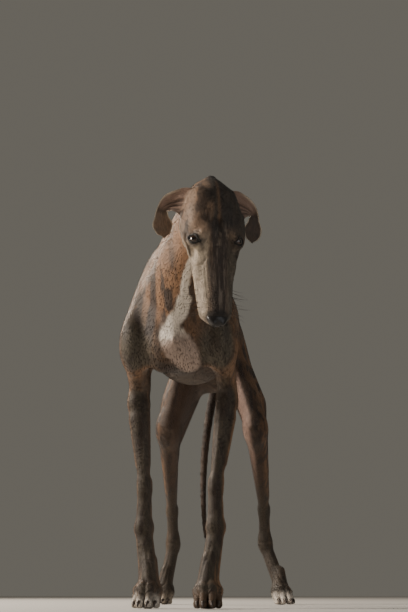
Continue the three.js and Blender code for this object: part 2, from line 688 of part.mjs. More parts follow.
function place(group, name, solid, colour, roughness = 0.8) {
  const material = new THREE.MeshStandardMaterial({ color: colour, roughness, metalness: 0 });
  const mesh = new THREE.Mesh(geometryOf(solid), material);
  mesh.name = name;
  group.add(mesh);
}

const dog = new THREE.Group();
dog.add(headGroup);
place(dog, "torso", trunkSolid, COLOURS.fawn);
place(dog, "neck", neckSolid, COLOURS.fawn);
place(dog, "tail", tailSolid, COLOURS.grey);
place(headGroup, "head", largest(headWhole.subtract(headCuts)), COLOURS.grey);
place(headGroup, "nose", noseSolid, COLOURS.leather, 0.45);
for (const [name, side] of [["left", 1], ["right", -1]]) {
  place(headGroup, `eye_${name}`, eyeball(side, 0), COLOURS.eye, 0.1);
  const neckInHead = neckSpace.transform(headGroup.matrixWorld.clone().invert().toArray());
  const ear = earLeaf(side).subtract(headSwept(GAP)).subtract(neckInHead);
  place(headGroup, `ear_${name}`, largest(ear), COLOURS.fawn);
  const fore = foreLeg(name).subtract(trunkSpace).subtract(neckSpace);
  place(dog, `foreleg_${name}`, largest(fore), COLOURS.fawn);
  const hind = hindLeg(name).subtract(trunkSpace).subtract(tailSpace);
  place(dog, `hindleg_${name}`, largest(hind), COLOURS.grey);
}

// The origin goes to the middle of the dog's box, on the floor.
const box = new THREE.Box3().setFromObject(dog, true);
const middle = box.getCenter(new THREE.Vector3());
dog.position.set(-middle.x, -middle.y, -box.min.z);

export default dog;
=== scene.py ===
import math

import bmesh
import bpy
import numpy as np
from mathutils import Matrix, Vector


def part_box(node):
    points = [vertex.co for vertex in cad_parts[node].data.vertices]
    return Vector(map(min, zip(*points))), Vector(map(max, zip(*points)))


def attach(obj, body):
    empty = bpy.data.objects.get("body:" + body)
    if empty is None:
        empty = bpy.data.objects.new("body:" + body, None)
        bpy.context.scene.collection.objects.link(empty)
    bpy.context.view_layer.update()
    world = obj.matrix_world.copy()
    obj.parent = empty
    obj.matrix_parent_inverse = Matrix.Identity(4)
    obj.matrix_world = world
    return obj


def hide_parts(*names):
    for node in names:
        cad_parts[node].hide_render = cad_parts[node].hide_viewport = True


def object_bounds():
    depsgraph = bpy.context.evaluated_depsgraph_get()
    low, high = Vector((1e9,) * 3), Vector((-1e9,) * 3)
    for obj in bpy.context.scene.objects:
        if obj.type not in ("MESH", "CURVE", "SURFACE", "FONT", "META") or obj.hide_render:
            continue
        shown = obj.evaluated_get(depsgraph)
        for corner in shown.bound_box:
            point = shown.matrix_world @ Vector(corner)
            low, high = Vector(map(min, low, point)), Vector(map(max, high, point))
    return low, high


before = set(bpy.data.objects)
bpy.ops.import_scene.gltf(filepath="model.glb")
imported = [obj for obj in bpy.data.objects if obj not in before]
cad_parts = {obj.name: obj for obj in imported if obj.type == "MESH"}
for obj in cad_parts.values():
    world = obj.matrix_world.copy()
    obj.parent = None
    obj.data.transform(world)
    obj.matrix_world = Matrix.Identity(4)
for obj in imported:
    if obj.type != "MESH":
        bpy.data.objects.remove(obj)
cad_low, cad_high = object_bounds()

MM = 0.001  # the anatomy below is in millimetres, the scene in metres

# Driving sizes, in millimetres, as in the solids
WITHERS = 718  # floor to the top of the shoulder blades
BRISKET = 428  # floor to the lowest point of the chest
BACK = WITHERS - 20  # floor to the dip behind the withers
LOIN = WITHERS - 8  # floor to the top of the arched loin
TUCK = 540  # floor to the highest point of the belly line
HEAD_LENGTH = 274  # back of the skull to the nose tip
ELBOW = 388  # floor to the elbow
CARPUS = 148  # floor to the wrist
STIFLE = 402  # floor to the knee
HOCK = 152  # floor to the hock joint
TAIL_TIP = 158  # floor to the tail's tip
KNUCKLES = 44  # floor to the roots of the toes
COAT_DEPTH = 0.8  # the skin lies this far inside the solids


# Smooth bodies: each is a function of an array of points that is negative inside
def unit(v):
    v = np.asarray(v, float)
    return v / np.linalg.norm(v)


def bar(start, end, r0, r1, flat=(1, 1, 1)):
    """A round bar that tapers from radius r0 to r1, its width along each axis scaled by `flat`."""
    start, end, flat = (np.asarray(v, float) for v in (start, end, flat))
    along = end - start
    length2 = max(along @ along, 1e-9)
    thinnest = flat.min()

    def field(p):
        t = np.clip((p - start) @ along / length2, 0, 1)
        off = (p - start - t[:, None] * along) / flat
        return (np.sqrt((off * off).sum(1)) - (r0 + (r1 - r0) * t)) * thinnest

    return field


def ball(centre, radii):
    return bar(centre, centre, 1, 1, radii)


def smooth_min(a, b, soft):
    h = np.maximum(soft - np.abs(a - b), 0) / soft
    return np.minimum(a, b) - h * h * soft / 4


def smooth_max(a, b, soft):
    return -smooth_min(-a, -b, soft)


def melt(pieces):
    """Bodies joined one after the other, each blended in over its own distance."""

    def field(p):
        total = None
        for body, soft in pieces:
            here = body(p)
            total = here if total is None else smooth_min(total, here, soft)
        return total

    return field


def boxed(body, low, high, far=50.0):
    """The same body, worked out only near it: its value elsewhere is `far`."""
    low = np.asarray(low, float) - far
    high = np.asarray(high, float) + far

    def field(p):
        value = np.full(len(p), far)
        near = np.all((p > low) & (p < high), axis=1)
        if near.any():
            value[near] = np.minimum(body(p[near]), far)
        return value

    return field


def columns_at(table, s):
    """A smooth curve through the rows of a table whose first column is the place along it."""
    table = np.asarray(table, float)
    at = np.clip(s, table[0, 0], table[-1, 0])
    i = np.clip(np.searchsorted(table[:, 0], at, side="right") - 1, 0, len(table) - 2)
    before = table[np.maximum(i - 1, 0)]
    a, b = table[i], table[i + 1]
    after = table[np.minimum(i + 2, len(table) - 1)]
    span = (b[:, 0] - a[:, 0])[:, None]
    t = ((at - a[:, 0]) / span[:, 0])[:, None]
    leave = (b - before) / np.maximum(b[:, :1] - before[:, :1], 1e-9) * span
    arrive = (after - a) / np.maximum(after[:, :1] - a[:, :1], 1e-9) * span
    t2, t3 = t * t, t * t * t
    mixed = a * (2 * t3 - 3 * t2 + 1) + leave * (t3 - 2 * t2 + t) + b * (3 * t2 - 2 * t3)
    return (mixed + arrive * (t3 - t2))[:, 1:].T


def hull(table):
    """Superellipse sections along x of the points given. Rows: place, top, bottom, half width,
    height of the widest line, roundness of the upper and of the lower half."""

    def field(p):
        s, across, height = p.T
        top, bottom, half, wide, above, below = columns_at(table, s)
        up = height - wide
        power = np.where(up > 0, above, below)
        rise = np.maximum(np.where(up > 0, top - wide, wide - bottom), 1)
        half = np.maximum(half, 1)
        share = (np.abs(across / half) ** power + np.abs(up / rise) ** power) ** (1 / power)
        reach = np.hypot(across, up)
        past = np.maximum(np.maximum(table[0][0] - s, s - table[-1][0]), 0)
        inside = np.where(share < 1e-6, -np.minimum(half, rise), reach - reach / np.maximum(share, 1e-6))
        return inside + past

    return field


def mirrored(p, axis=0):
    """The points brought over to the positive side of an axis."""
    q = p.copy()
    q[:, axis] = np.abs(q[:, axis])
    return q


# Trunk: y, top, bottom, half width, height of the widest line, roundness above and below
TRUNK = [
    [-438, 480, 468, 4, 474, 2, 2],
    [-431, 500, 456, 18, 474, 2, 2],
    [-417, 530, 442, 40, 480, 2, 2],
    [-396, 590, BRISKET + 6, 58, 500, 2, 1.9],
    [-360, 664, BRISKET + 2, 74, 520, 1.9, 1.9],
    [-310, WITHERS - 8, BRISKET, 84, 540, 1.7, 1.9],
    [-262, WITHERS, BRISKET + 1, 90, 548, 1.6, 1.9],
    [-190, BACK, BRISKET + 7, 95, 556, 1.8, 1.9],
    [-110, BACK - 2, BRISKET + 19, 95, 566, 2, 2],
    [-30, BACK + 4, BRISKET + 42, 88, 586, 2.1, 2],
    [50, LOIN, BRISKET + 79, 76, 610, 2.1, 2],
    [120, LOIN, TUCK - 12, 66, 628, 2.1, 2],
    [190, LOIN - 10, TUCK, 66, 624, 2.1, 2],
    [250, LOIN - 24, TUCK - 14, 74, 606, 2.2, 2],
    [310, LOIN - 46, TUCK - 34, 76, 590, 2.2, 2],
    [360, LOIN - 76, TUCK - 34, 64, 576, 2.1, 2],
    [392, LOIN - 102, TUCK - 22, 44, 572, 2, 2],
    [408, LOIN - 124, TUCK - 2, 18, 568, 2, 2],
]


def trunk_body():
    shape = hull(TRUNK)
    side = melt([
        (ball((40, 226, LOIN - 34), (22, 26, 20)), 1),  # hip bone
        (ball((30, 376, 572), (18, 22, 24)), 20),  # buttock
        (bar((24, -150, BACK - 24), (26, 210, LOIN - 30), 26, 26, (1, 1, 0.9)), 20),  # back muscle
        (ball((28, -380, 472), (34, 34, 44)), 20),  # breast
    ])

    def field(p):
        return smooth_min(shape(p[:, [1, 0, 2]]), side(mirrored(p)), 26)

    return boxed(field, (-100, -440, BRISKET), (100, 412, WITHERS))


# Head frame: x from the back of the skull to the nose, y to the dog's left, z out of the forehead
HEAD_PITCH = math.radians(82)
HEAD_YAW = math.radians(21)
HEAD_ROLL = math.radians(2)
SKULL_BACK = np.array([78.0, -522.0, 746.0])
head_turn = (
    Matrix.Rotation(HEAD_YAW - math.pi / 2, 3, "Z")
    @ Matrix.Rotation(HEAD_PITCH, 3, "Y")
    @ Matrix.Rotation(HEAD_ROLL, 3, "X")
)
HEAD_TURN = np.array(head_turn)


def to_head(p):
    return (p - SKULL_BACK) @ HEAD_TURN


def from_head(p):
    return np.asarray(p, float) @ HEAD_TURN.T + SKULL_BACK


L = HEAD_LENGTH
HEAD = [
    [-4, 0, -22, 8, -10, 2, 2],
    [5, 14, -36, 24, -10, 2, 2],
    [24, 29, -47, 40, -8, 2, 2],
    [50, 38, -53, 50, -8, 2, 2],
    [82, 40, -53, 56, -8, 2, 2],
    [112, 34, -49, 55, -8, 1.9, 2],
    [136, 26, -45, 45, -10, 1.9, 2.1],
    [160, 20, -40, 36, -12, 2, 2.2],
    [188, 15.5, -37, 32, -14, 2.1, 2.2],
    [216, 12, -35, 30, -14, 2.2, 2.2],
    [244, 10, -32, 27, -13, 2.2, 2.2],
    [L - 12, 8, -28, 21.5, -11, 2.2, 2.1],
    [L - 4, 4, -20, 12, -9, 2, 2],
    [L, -2, -12, 4, -8, 2, 2],
]
EYE_AT = np.array([123.0, 36.0, 11.0])
EYE_RADIUS = 11.5
GAZE = unit([0.16, 0.56, 0.8])
EYE_CORNERS = np.array([0.5, -1.0, 0.35])  # the way from an eye's outer corner to its inner one
LID_THICK = 2.4
LID_HALF = 11.8  # half the length of the open almond between the lids
LID_RISE = 7.2  # half its height


def eye_axes():
    """The open almond's own axes on the dog's left: towards the inner corner, up, and out."""
    corner = EYE_CORNERS - GAZE * (EYE_CORNERS @ GAZE)
    corner = unit(corner)
    return np.stack([corner, np.cross(GAZE, corner), GAZE])


def almond(p):
    """How far outside the open almond between the lids each point lies, seen along the gaze,
    and how far in front of the eye's middle. Points in the head's frame, on the left side."""
    across, up, out = eye_axes() @ (p - EYE_AT).T
    bow = np.maximum(1 - (across / LID_HALF) ** 2, 0)
    height = np.where(up > 0, LID_RISE * 0.86, LID_RISE) * bow
    return np.maximum(np.abs(up) - height, np.abs(across) - LID_HALF), out


def on_eye(across, up):
    """A point near the lids, given in the almond's own axes."""
    return EYE_AT + np.array([across, up, 13.0]) @ eye_axes()


def head_body():
    shape = hull(HEAD)
    side = melt([
        (bar((40, 20, 12), (90, 28, 12), 19, 21), 1),  # temple muscle
        (bar((66, 48, -10), (118, 44, -6), 9, 8), 10),  # cheek arch
        (bar((80, 37, -26), (108, 35, -22), 20, 16), 12),  # jaw muscle
        (bar((104, 20, 24), (124, 32, 20), 11, 7), 10),  # brow
        (ball((121, 34, 8), (19, 14, 14)), 8),  # rim of the socket
        (bar((138, 36, -8), (182, 27, -8), 10, 8), 10),  # cheek below the eye
        (bar((162, 26, -20), (L - 24, 19, -17), 10, 9), 8),  # upper lip
        (bar((100, 26, -36), (L - 38, 13, -29), 10, 7.5), 8),  # lower jaw
    ])
    bridge = bar((142, 0, 12), (L - 20, 0, 2), 9, 8)
    chin = ball((L - 20, 0, -24), (12, 11, 9))
    socket = ball((143, 42, 2), (13, 8, 8))
    crest = bar((-3, 0, 0), (34, 0, 24), 7, 9)
    furrow = bar((62, 0, 52), (118, 0, 45), 9, 8)
    lids = ball(EYE_AT, (EYE_RADIUS + LID_THICK,) * 3)

    def field(p):
        q = to_head(p)
        m = mirrored(q, 1)
        whole = smooth_min(smooth_min(shape(q), bridge(q), 8), chin(q), 8)
        whole = smooth_min(whole, crest(q), 14)
        whole = smooth_min(whole, side(m), 9)
        whole = smooth_max(whole, -furrow(q), 8)
        whole = smooth_max(whole, -socket(m), 8)
        return smooth_min(whole, lids(m), 5)

    corners = from_head([[x, y, z] for x in (-6, L + 4) for y in (-62, 62) for z in (-60, 46)])
    return boxed(field, corners.min(0), corners.max(0))


# The line of the mouth on the dog's left, from below the cheek to under the nose
MOUTH = [
    (148, 41, -27),
    (172, 36, -25.5),
    (206, 32, -24.5),
    (240, 28, -23),
    (L - 14, 20, -19),
    (L - 6, 7, -16),
    (L - 4, 0, -15.5),
]


def neck_body():
    field = melt([
        (bar((-4, -310, 636), (68, -500, 724), 66, 31, (0.96, 1, 1)), 1),  # nape
        (bar((-2, -350, 574), (66, -490, 690), 78, 48, (0.93, 1, 1)), 30),  # throat side
        (bar((-2, -388, 516), (62, -482, 662), 40, 32), 26),  # windpipe line
        (bar((-4, -330, 536), (26, -430, 606), 68, 48, (1.05, 1, 1)), 30),  # base over the breast
    ])
    return boxed(field, (-90, -560, 440), (130, -240, 780))


# Legs: the places of their joints, the middle of each foot, and how far the paw turns to the left
FORE = {
    "left": {
        "side": 1,
        "elbow": (80, -292, ELBOW),
        "carpus": (65, -322, CARPUS),
        "foot": (54, -346),
        "turn": 4,
    },
    "right": {
        "side": -1,
        "elbow": (-82, -282, ELBOW),
        "carpus": (-72, -298, CARPUS),
        "foot": (-58, -318),
        "turn": -2,
    },
}
HIND = {
    "left": {
        "side": 1,
        "stifle": (108, 214, STIFLE),
        "hock": (115, 412, HOCK),
        "foot": (152, 392),
        "turn": 20,
    },
    "right": {
        "side": -1,
        "stifle": (-100, 222, STIFLE),
        "hock": (-112, 428, HOCK),
        "foot": (-128, 410),
        "turn": -6,
    },
}


def beside(leg, joint=None):
    """Gives points by their offset from a joint, or from the dog's own zero, with x outwards."""
    px, py, pz = leg[joint] if joint else (0, 0, 0)
    return lambda x, y, z: (px + x * leg["side"], py + y, pz + z)


def leg_sides(leg, joint):
    """How far the leg reaches to the right and to the left, with room for its flesh."""
    places = (leg[joint][0], leg["foot"][0], 30 * leg["side"])
    return min(places) - 44, max(places) + 44


def fore_body(leg):
    put, at, wrist = beside(leg), beside(leg, "elbow"), beside(leg, "carpus")
    x, y = leg["foot"]
    pastern = (x, y, KNUCKLES)
    middle = tuple((a + b) / 2 for a, b in zip(leg["elbow"], leg["carpus"]))
    field = melt([
        (bar(put(40, -262, 682), put(84, -364, 500), 22, 30, (0.7, 1.35, 1)), 1),  # shoulder blade
        (bar(put(60, -250, 640), put(80, -330, 520), 22, 30, (0.7, 1.5, 1)), 30),  # its back
        (ball(put(78, -372, 476), (25, 32, 38)), 22),  # point of the shoulder
        (bar(put(82, -356, 464), at(4, -4, 24), 34, 24, (0.72, 1.1, 1)), 24),  # upper arm
        (bar(put(72, -262, 560), at(4, 20, 16), 36, 20, (0.62, 1.2, 1)), 24),  # triceps
        (ball(at(4, 24, 2), (10, 11, 14)), 10),  # point of the elbow
        (ball(at(12, -6, -4), (13, 20, 22)), 12),  # outer side of the elbow
        (bar(at(2, -4, -10), wrist(0, 2, 70), 23, 13, (0.86, 1.08, 1)), 14),  # forearm
        (bar(at(4, -12, -40), middle, 17, 11), 12),  # its front muscle
        (bar(wrist(0, 4, 80), wrist(0, 0, 4), 13, 15, (1.05, 1, 1)), 12),
        (ball(leg["carpus"], (18, 17, 18)), 8),  # wrist
        (ball(wrist(6, 20, -10), (7, 9, 10)), 6),  # stopper pad
        (bar(wrist(0, 0, -10), pastern, 15, 16.5, (1.1, 0.95, 1)), 10),  # pastern
        (ball((x, y - 10, 27), (19, 26, 20)), 12),  # root of the toes
        (bar((x, y + 2, 84), (x, y - 15, 33), 13, 21), 10),  # its top
    ])
    right, left = leg_sides(leg, "elbow")
    return boxed(field, (right, -440, 0), (left, -200, 710))


def hind_body(leg):
    put, knee, heel = beside(leg), beside(leg, "stifle"), beside(leg, "hock")
    x, y = leg["foot"]
    pastern = (x, y, KNUCKLES)
    field = melt([
        (bar(put(42, 262, 620), knee(-6, 10, 16), 50, 38, (0.6, 1.2, 1)), 1),  # thigh
        (bar(put(42, 336, 580), knee(-4, 74, 20), 48, 32, (0.62, 1.1, 1)), 30),  # back of it
        (bar(put(60, 290, 540), knee(-6, 50, 60), 44, 36, (0.66, 1.2, 1)), 30),  # its fullness
        (bar(put(40, 380, 566), knee(0, 100, -40), 30, 14, (0.75, 1, 1)), 24),  # hamstring
        (ball(knee(0, -2, 0), (26, 28, 34)), 20),  # knee
        (bar(knee(0, 22, -16), heel(0, -22, 70), 31, 14, (0.8, 1, 1)), 20),  # shin
        (bar(heel(0, -24, 74), heel(0, -2, 8), 13.5, 14), 14),  # its lower end
        (bar(knee(2, 60, -10), heel(2, -34, 110), 24, 12, (0.85, 1, 1)), 18),  # calf
        (bar(heel(0, -20, 110), heel(0, 25, 16), 8, 8), 14),  # tendon
        (bar(heel(0, 26, 18), heel(0, 12, -16), 10.5, 12), 10),  # heel bone
        (ball(leg["hock"], (16, 18, 22)), 10),
        (bar(heel(0, 8, -10), pastern, 14, 15, (1.1, 1, 1)), 12),  # rear pastern
        (ball((x, y - 10, 26), (18, 24, 19)), 12),  # root of the toes
        (bar((x, y + 2, 78), (x, y - 15, 31), 12, 19.5), 10),  # its top
    ])
    right, left = leg_sides(leg, "stifle")
    return boxed(field, (right, 160, 0), (left, 470, 690))


# Paws, each in its own frame: toes forward along -y, the floor at z = 0
TOES = [
    {"root": (-7, 2), "knuckle": (-7.5, -27), "tip": (-8, -53), "high": 35, "thick": 8.2},
    {"root": (7, 2), "knuckle": (7.5, -27), "tip": (8, -53), "high": 35, "thick": 8.2},
    {"root": (-13, 4), "knuckle": (-17.5, -16), "tip": (-19, -38), "high": 30, "thick": 7.7},
    {"root": (13, 4), "knuckle": (17.5, -16), "tip": (19, -38), "high": 30, "thick": 7.7},
]
FLOOR_FLAT = 1.2  # how much of each pad the floor takes off
HIND_PAW = np.array([0.94, 0.96, 0.96])
FORE_PAW = np.ones(3)


def toe_body(toe):
    """One toe, from its root over the knuckle down to the pad."""
    thick = toe["thick"]
    low = thick - FLOOR_FLAT
    root = (*toe["root"], KNUCKLES - 6)
    knuckle = (*toe["knuckle"], toe["high"])
    tx, ty = toe["tip"]
    return melt([
        (bar(root, knuckle, thick * 0.95, thick * 1.05), 1),
        (bar(knuckle, (tx, ty + 4, low + 6), thick * 1.05, thick * 0.92), 6),
        (bar((tx, ty + 10, low), (tx, ty + 1, low), thick, thick * 0.92), 5),
    ])


def paw_frame(leg):
    """The paw's turn as a matrix, and the place of its own zero on the floor."""
    turn = math.radians(leg["turn"])
    c, s = math.cos(turn), math.sin(turn)
    x, y = leg["foot"]
    return np.array([[c, -s, 0], [s, c, 0], [0, 0, 1]]), np.array([x, y - 2, 0.0])


def paw_body(leg, stretch):
    spin, origin = paw_frame(leg)
    pad = ball((0, -2, 12), (16.5, 18, 13.2))
    web = ball((0, -20, 19), (20, 22, 13))
    toes = [toe_body(toe) for toe in TOES]

    def field(p):
        q = (p - origin) @ spin / stretch
        whole = smooth_min(pad(q), web(q), 6)
        for toe in toes:
            whole = smooth_min(whole, toe(q), 2.2)
        return np.maximum(whole, -q[:, 2]) * stretch.min()

    low = origin - (70, 80, 0)
    high = origin + (70, 70, 60)
    return boxed(field, low, high, 20)


TAIL = [
    (0, 372, 606),
    (0, 404, 588),
    (-6, 430, 540),
    (-22, 441, 470),
    (-34, 440, 380),
    (-38, 434, 290),
    (-36, 430, 215),
    (-33, 440, TAIL_TIP + 4),
]
TAIL_RADII = (15, 10.5, 4.5)


def smooth_line(points, count):
    """Points along a Catmull-Rom curve, evenly spaced in its parameter."""
    table = np.column_stack([np.arange(len(points)), np.asarray(points, float)])
    return columns_at(table, np.linspace(0, len(points) - 1, count)).T


def tail_body():
    line = smooth_line(TAIL, 22)
    t = np.linspace(0, 1, len(line))
    radii = np.interp(t, [0, 0.5, 1], TAIL_RADII)
    pieces = zip(line[:-1], line[1:], radii[:-1], radii[1:])
    field = melt([(bar(a, b, r0, r1), 3) for a, b, r0, r1 in pieces])
    return boxed(field, (-60, 350, 140), (20, 470, 630))


trunk_field = trunk_body()
neck_field = neck_body()
head_field = head_body()
tail_field = tail_body()
fore_fields = [fore_body(leg) for leg in FORE.values()]
hind_fields = [hind_body(leg) for leg in HIND.values()]
paw_fields = [paw_body(leg, FORE_PAW) for leg in FORE.values()]
paw_fields += [paw_body(leg, HIND_PAW) for leg in HIND.values()]


def dog_field(p):
    """The whole dog but its ears, eyes and nose: below 0 inside the skin."""
    whole = smooth_min(trunk_field(p), neck_field(p), 34)
    for leg in fore_fields:
        whole = smooth_min(whole, leg(p), 20)
    for leg in hind_fields:
        whole = smooth_min(whole, leg(p), 26)
    whole = smooth_min(whole, tail_field(p), 14)
    whole = smooth_min(whole, head_field(p), 14)
    for paw in paw_fields:
        whole = smooth_min(whole, paw(p), 11)
    return np.maximum(whole + COAT_DEPTH, 0.3 - p[:, 2])


# Surface nets: a closed mesh of quads round a body
BLOCK = 4  # cells along each side of a block of the coarse grid


def grid_values(field, low, step, counts):
    """The body's value at every grid point, exact near the surface and only signed elsewhere."""
    axes = [low[k] + step * np.arange(counts[k]) for k in range(3)]
    coarse_axes = [a[::BLOCK] for a in axes]
    mesh = np.stack(np.meshgrid(*coarse_axes, indexing="ij"), -1)
    coarse = field(mesh.reshape(-1, 3)).reshape(mesh.shape[:3])
    nearest = [
        np.minimum((np.arange(count) + BLOCK // 2) // BLOCK, len(axis) - 1)
        for count, axis in zip(counts, coarse_axes)
    ]
    values = coarse[np.ix_(*nearest)].astype(np.float32)
    corner_min = np.abs(coarse[:-1, :-1, :-1])
    for i in (0, 1):
        for j in (0, 1):
            for k in (0, 1):
                shape = [n - 1 for n in coarse.shape]
                part = coarse[i:i + shape[0], j:j + shape[1], k:k + shape[2]]
                corner_min = np.minimum(corner_min, np.abs(part))
    blocks = np.argwhere(corner_min < BLOCK * step * 1.3)
    offsets = np.stack(np.meshgrid(*[np.arange(BLOCK + 1)] * 3, indexing="ij"), -1).reshape(-1, 3)
    exact = np.zeros(counts, bool)
    for offset in offsets:
        i, j, k = (blocks * BLOCK + offset).T
        exact[i, j, k] = True
    at = np.argwhere(exact)
    values[exact] = field(low + at * step)
    return values


def surface_net(field, low, high, step):
    """Vertices and quads of the body's surface, at about `step` between vertices."""
    low = np.asarray(low, float)
    counts = [int(math.ceil((h - l) / step / BLOCK)) * BLOCK + 1 for l, h in zip(low, high)]
    values = grid_values(field, low, step, counts)
    inside = values < 0
    cells = tuple(n - 1 for n in counts)
    corner_sum = np.zeros(cells, np.int8)
    corners = [(i, j, k) for i in (0, 1) for j in (0, 1) for k in (0, 1)]
    for i, j, k in corners:
        corner_sum += inside[i:i + cells[0], j:j + cells[1], k:k + cells[2]]
    active = np.argwhere((corner_sum > 0) & (corner_sum < 8))
    number = np.full(cells, -1, np.int32)
    number[tuple(active.T)] = np.arange(len(active))
    total = np.zeros((len(active), 3))
    hits = np.zeros(len(active))
    for a in corners:
        for axis in range(3):
            if a[axis]:
                continue
            b = list(a)
            b[axis] = 1
            va = values[tuple((active + a).T)]
            vb = values[tuple((active + b).T)]
            crossed = (va < 0) != (vb < 0)
            t = np.where(crossed, va / np.where(crossed, va - vb, 1), 0)
            point = np.asarray(a, float) + np.outer(t, np.eye(3)[axis])
            total += point * crossed[:, None]
            hits += crossed
    vertices = low + (active + total / hits[:, None]) * step
    quads = []
    for axis in range(3):
        u, v = (axis + 1) % 3, (axis + 2) % 3
        first = [slice(None)] * 3
        first[axis] = slice(0, -1)
        second = [slice(None)] * 3
        second[axis] = slice(1, None)
        crossing = inside[tuple(first)] != inside[tuple(second)]
        edges = np.argwhere(crossing)
        for side in (u, v):
            edges = edges[(edges[:, side] > 0) & (edges[:, side] < cells[side])]
        outward = inside[tuple(edges.T)]
        ring = []
        for du, dv in ((-1, -1), (0, -1), (0, 0), (-1, 0)):
            cell = edges.copy()
            cell[:, u] += du
            cell[:, v] += dv
            ring.append(number[tuple(cell.T)])
        ring = np.stack(ring, 1)
        ring[~outward] = ring[~outward][:, ::-1]
        quads.append(ring)
    return vertices, np.concatenate(quads)


def slopes(field, p, reach=0.4):
    """The body's value and its outward unit normal at each point."""
    here = field(p)
    slope = np.stack([field(p + reach * np.eye(3)[k]) - here for k in range(3)], 1) / reach
    steep = np.maximum(np.linalg.norm(slope, axis=1), 0.15)
    return here, slope / steep[:, None], steep


def settle(field, p, rounds=2, limit=1.5):
    """Points moved onto the body's surface."""
    for _ in range(rounds):
        here, normal, steep = slopes(field, p)
        move = np.clip(here / steep, -limit, limit)
        p = p - normal * move[:, None]
    return p


# Where the anatomy's frame lies in the scene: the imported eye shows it
eye_low, eye_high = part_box("eye_left")
SHIFT = np.array((eye_low + eye_high) / 2) - from_head([EYE_AT])[0] * MM


def to_scene(p):
    return np.asarray(p, float) * MM + SHIFT


def linked(name, mesh):
    """A smooth-shaded piece of the scene that shows the mesh."""
    mesh.polygons.foreach_set("use_smooth", [True] * len(mesh.polygons))
    mesh.update()
    piece = bpy.data.objects.new(name, mesh)
    bpy.context.scene.collection.objects.link(piece)
    return piece


def mesh_object(name, vertices, faces):
    """A piece with the given mesh. The rows of `faces` are all triangles or all quads."""
    mesh = bpy.data.meshes.new(name)
    faces = np.asarray(faces, np.int32)
    sides = faces.shape[1]
    mesh.vertices.add(len(vertices))
    mesh.vertices.foreach_set("co", np.asarray(vertices, np.float32).ravel())
    mesh.loops.add(faces.size)
    mesh.loops.foreach_set("vertex_index", faces.ravel())
    mesh.polygons.add(len(faces))
    mesh.polygons.foreach_set("loop_start", np.arange(len(faces), dtype=np.int32) * sides)
    mesh.update(calc_edges=True)
    mesh.validate()
    return linked(name, mesh)


def points_of(mesh):
    flat = np.empty(len(mesh.vertices) * 3, np.float32)
    mesh.vertices.foreach_get("co", flat)
    return (flat.reshape(-1, 3).astype(float) - SHIFT) / MM


def set_points(mesh, points):
    mesh.vertices.foreach_set("co", to_scene(points).astype(np.float32).ravel())
    mesh.update()


def normals_of(mesh):
    flat = np.empty(len(mesh.vertices) * 3, np.float32)
    mesh.vertex_normals.foreach_get("vector", flat)
    return flat.reshape(-1, 3).astype(float)


def refine(mesh, chosen):
    """Cuts each edge whose two ends are chosen in two, and the faces with it."""
    work = bmesh.new()
    work.from_mesh(mesh)
    edges = [e for e in work.edges if chosen[e.verts[0].index] and chosen[e.verts[1].index]]
    bmesh.ops.subdivide_edges(work, edges=edges, cuts=1, use_grid_fill=True)
    work.to_mesh(mesh)
    work.free()


def smoothstep(low, high, v):
    t = np.clip((v - low) / (high - low), 0, 1)
    return t * t * (3 - 2 * t)


def noise(p, size, seed=0):
    """Smooth value noise from 0 to 1, its spots about `size` across along each axis."""
    q = p / np.asarray(size, float) + seed * 17.3
    cell = np.floor(q).astype(np.int64)
    f = q - cell
    f = f * f * (3 - 2 * f)
    total = np.zeros(len(p))
    for corner in [(i, j, k) for i in (0, 1) for j in (0, 1) for k in (0, 1)]:
        c = cell + corner
        h = (c[:, 0] * 73856093) ^ (c[:, 1] * 19349663) ^ (c[:, 2] * 83492791) ^ (seed * 2654435761)
        h = ((h ^ (h >> 13)) * 1274126177) & 0xFFFFFFFF
        weight = np.prod(np.where(corner, f, 1 - f), axis=1)
        total += ((h ^ (h >> 16)) & 0xFFFF) / 65535 * weight
    return total


def layered(p, size, seed=0):
    """Value noise of three sizes added up, from 0 to 1."""
    size = np.asarray(size, float)
    coarse, middle = noise(p, size, seed), noise(p, size / 2.1, seed + 1)
    return 0.6 * coarse + 0.3 * middle + 0.1 * noise(p, size / 4.3, seed + 2)


# Relief that the short coat lets show, as heights along the skin's outward normal
def resampled(points, spacing=4.0):
    """The line through the points, with more points along it, about `spacing` apart."""
    points = [np.asarray(point, float) for point in points]
    line = [points[0]]
    for a, b in zip(points[:-1], points[1:]):
        steps = max(int(np.linalg.norm(b - a) / spacing), 1)
        line += [a + (b - a) * (i + 1) / steps for i in range(steps)]
    return np.array(line)


def laid(lines):
    """Lines through the given points, laid onto the dog's surface. Points in the dog's frame."""
    parts = [resampled(points) for points in lines]
    ends = np.cumsum([len(part) for part in parts])[:-1]
    return np.split(settle(dog_field, np.concatenate(parts), 9, 2.5), ends)


def on_skin(points):
    """One line laid onto the dog's surface."""
    return laid([points])[0]


def nearness(p, line, width):
    """From 1 on the line to 0 well past `width` from it."""
    reach = 2.6 * width
    low, high = line.min(0) - reach, line.max(0) + reach
    close = np.arange(len(p))
    for axis in range(3):
        values = p[close, axis]
        close = close[(values > low[axis]) & (values < high[axis])]
    q = p[close]
    distance = np.full(len(close), 9.0 * width)
    for a, b in zip(line[:-1], line[1:]):
        along = b - a
        off = q - a
        t = np.clip(off @ along / max(along @ along, 1e-9), 0, 1)
        gap = off - t[:, None] * along
        distance = np.minimum(distance, np.sqrt((gap * gap).sum(1)))
    result = np.zeros(len(p))
    result[close] = np.exp(-((distance / width) ** 2))
    return result


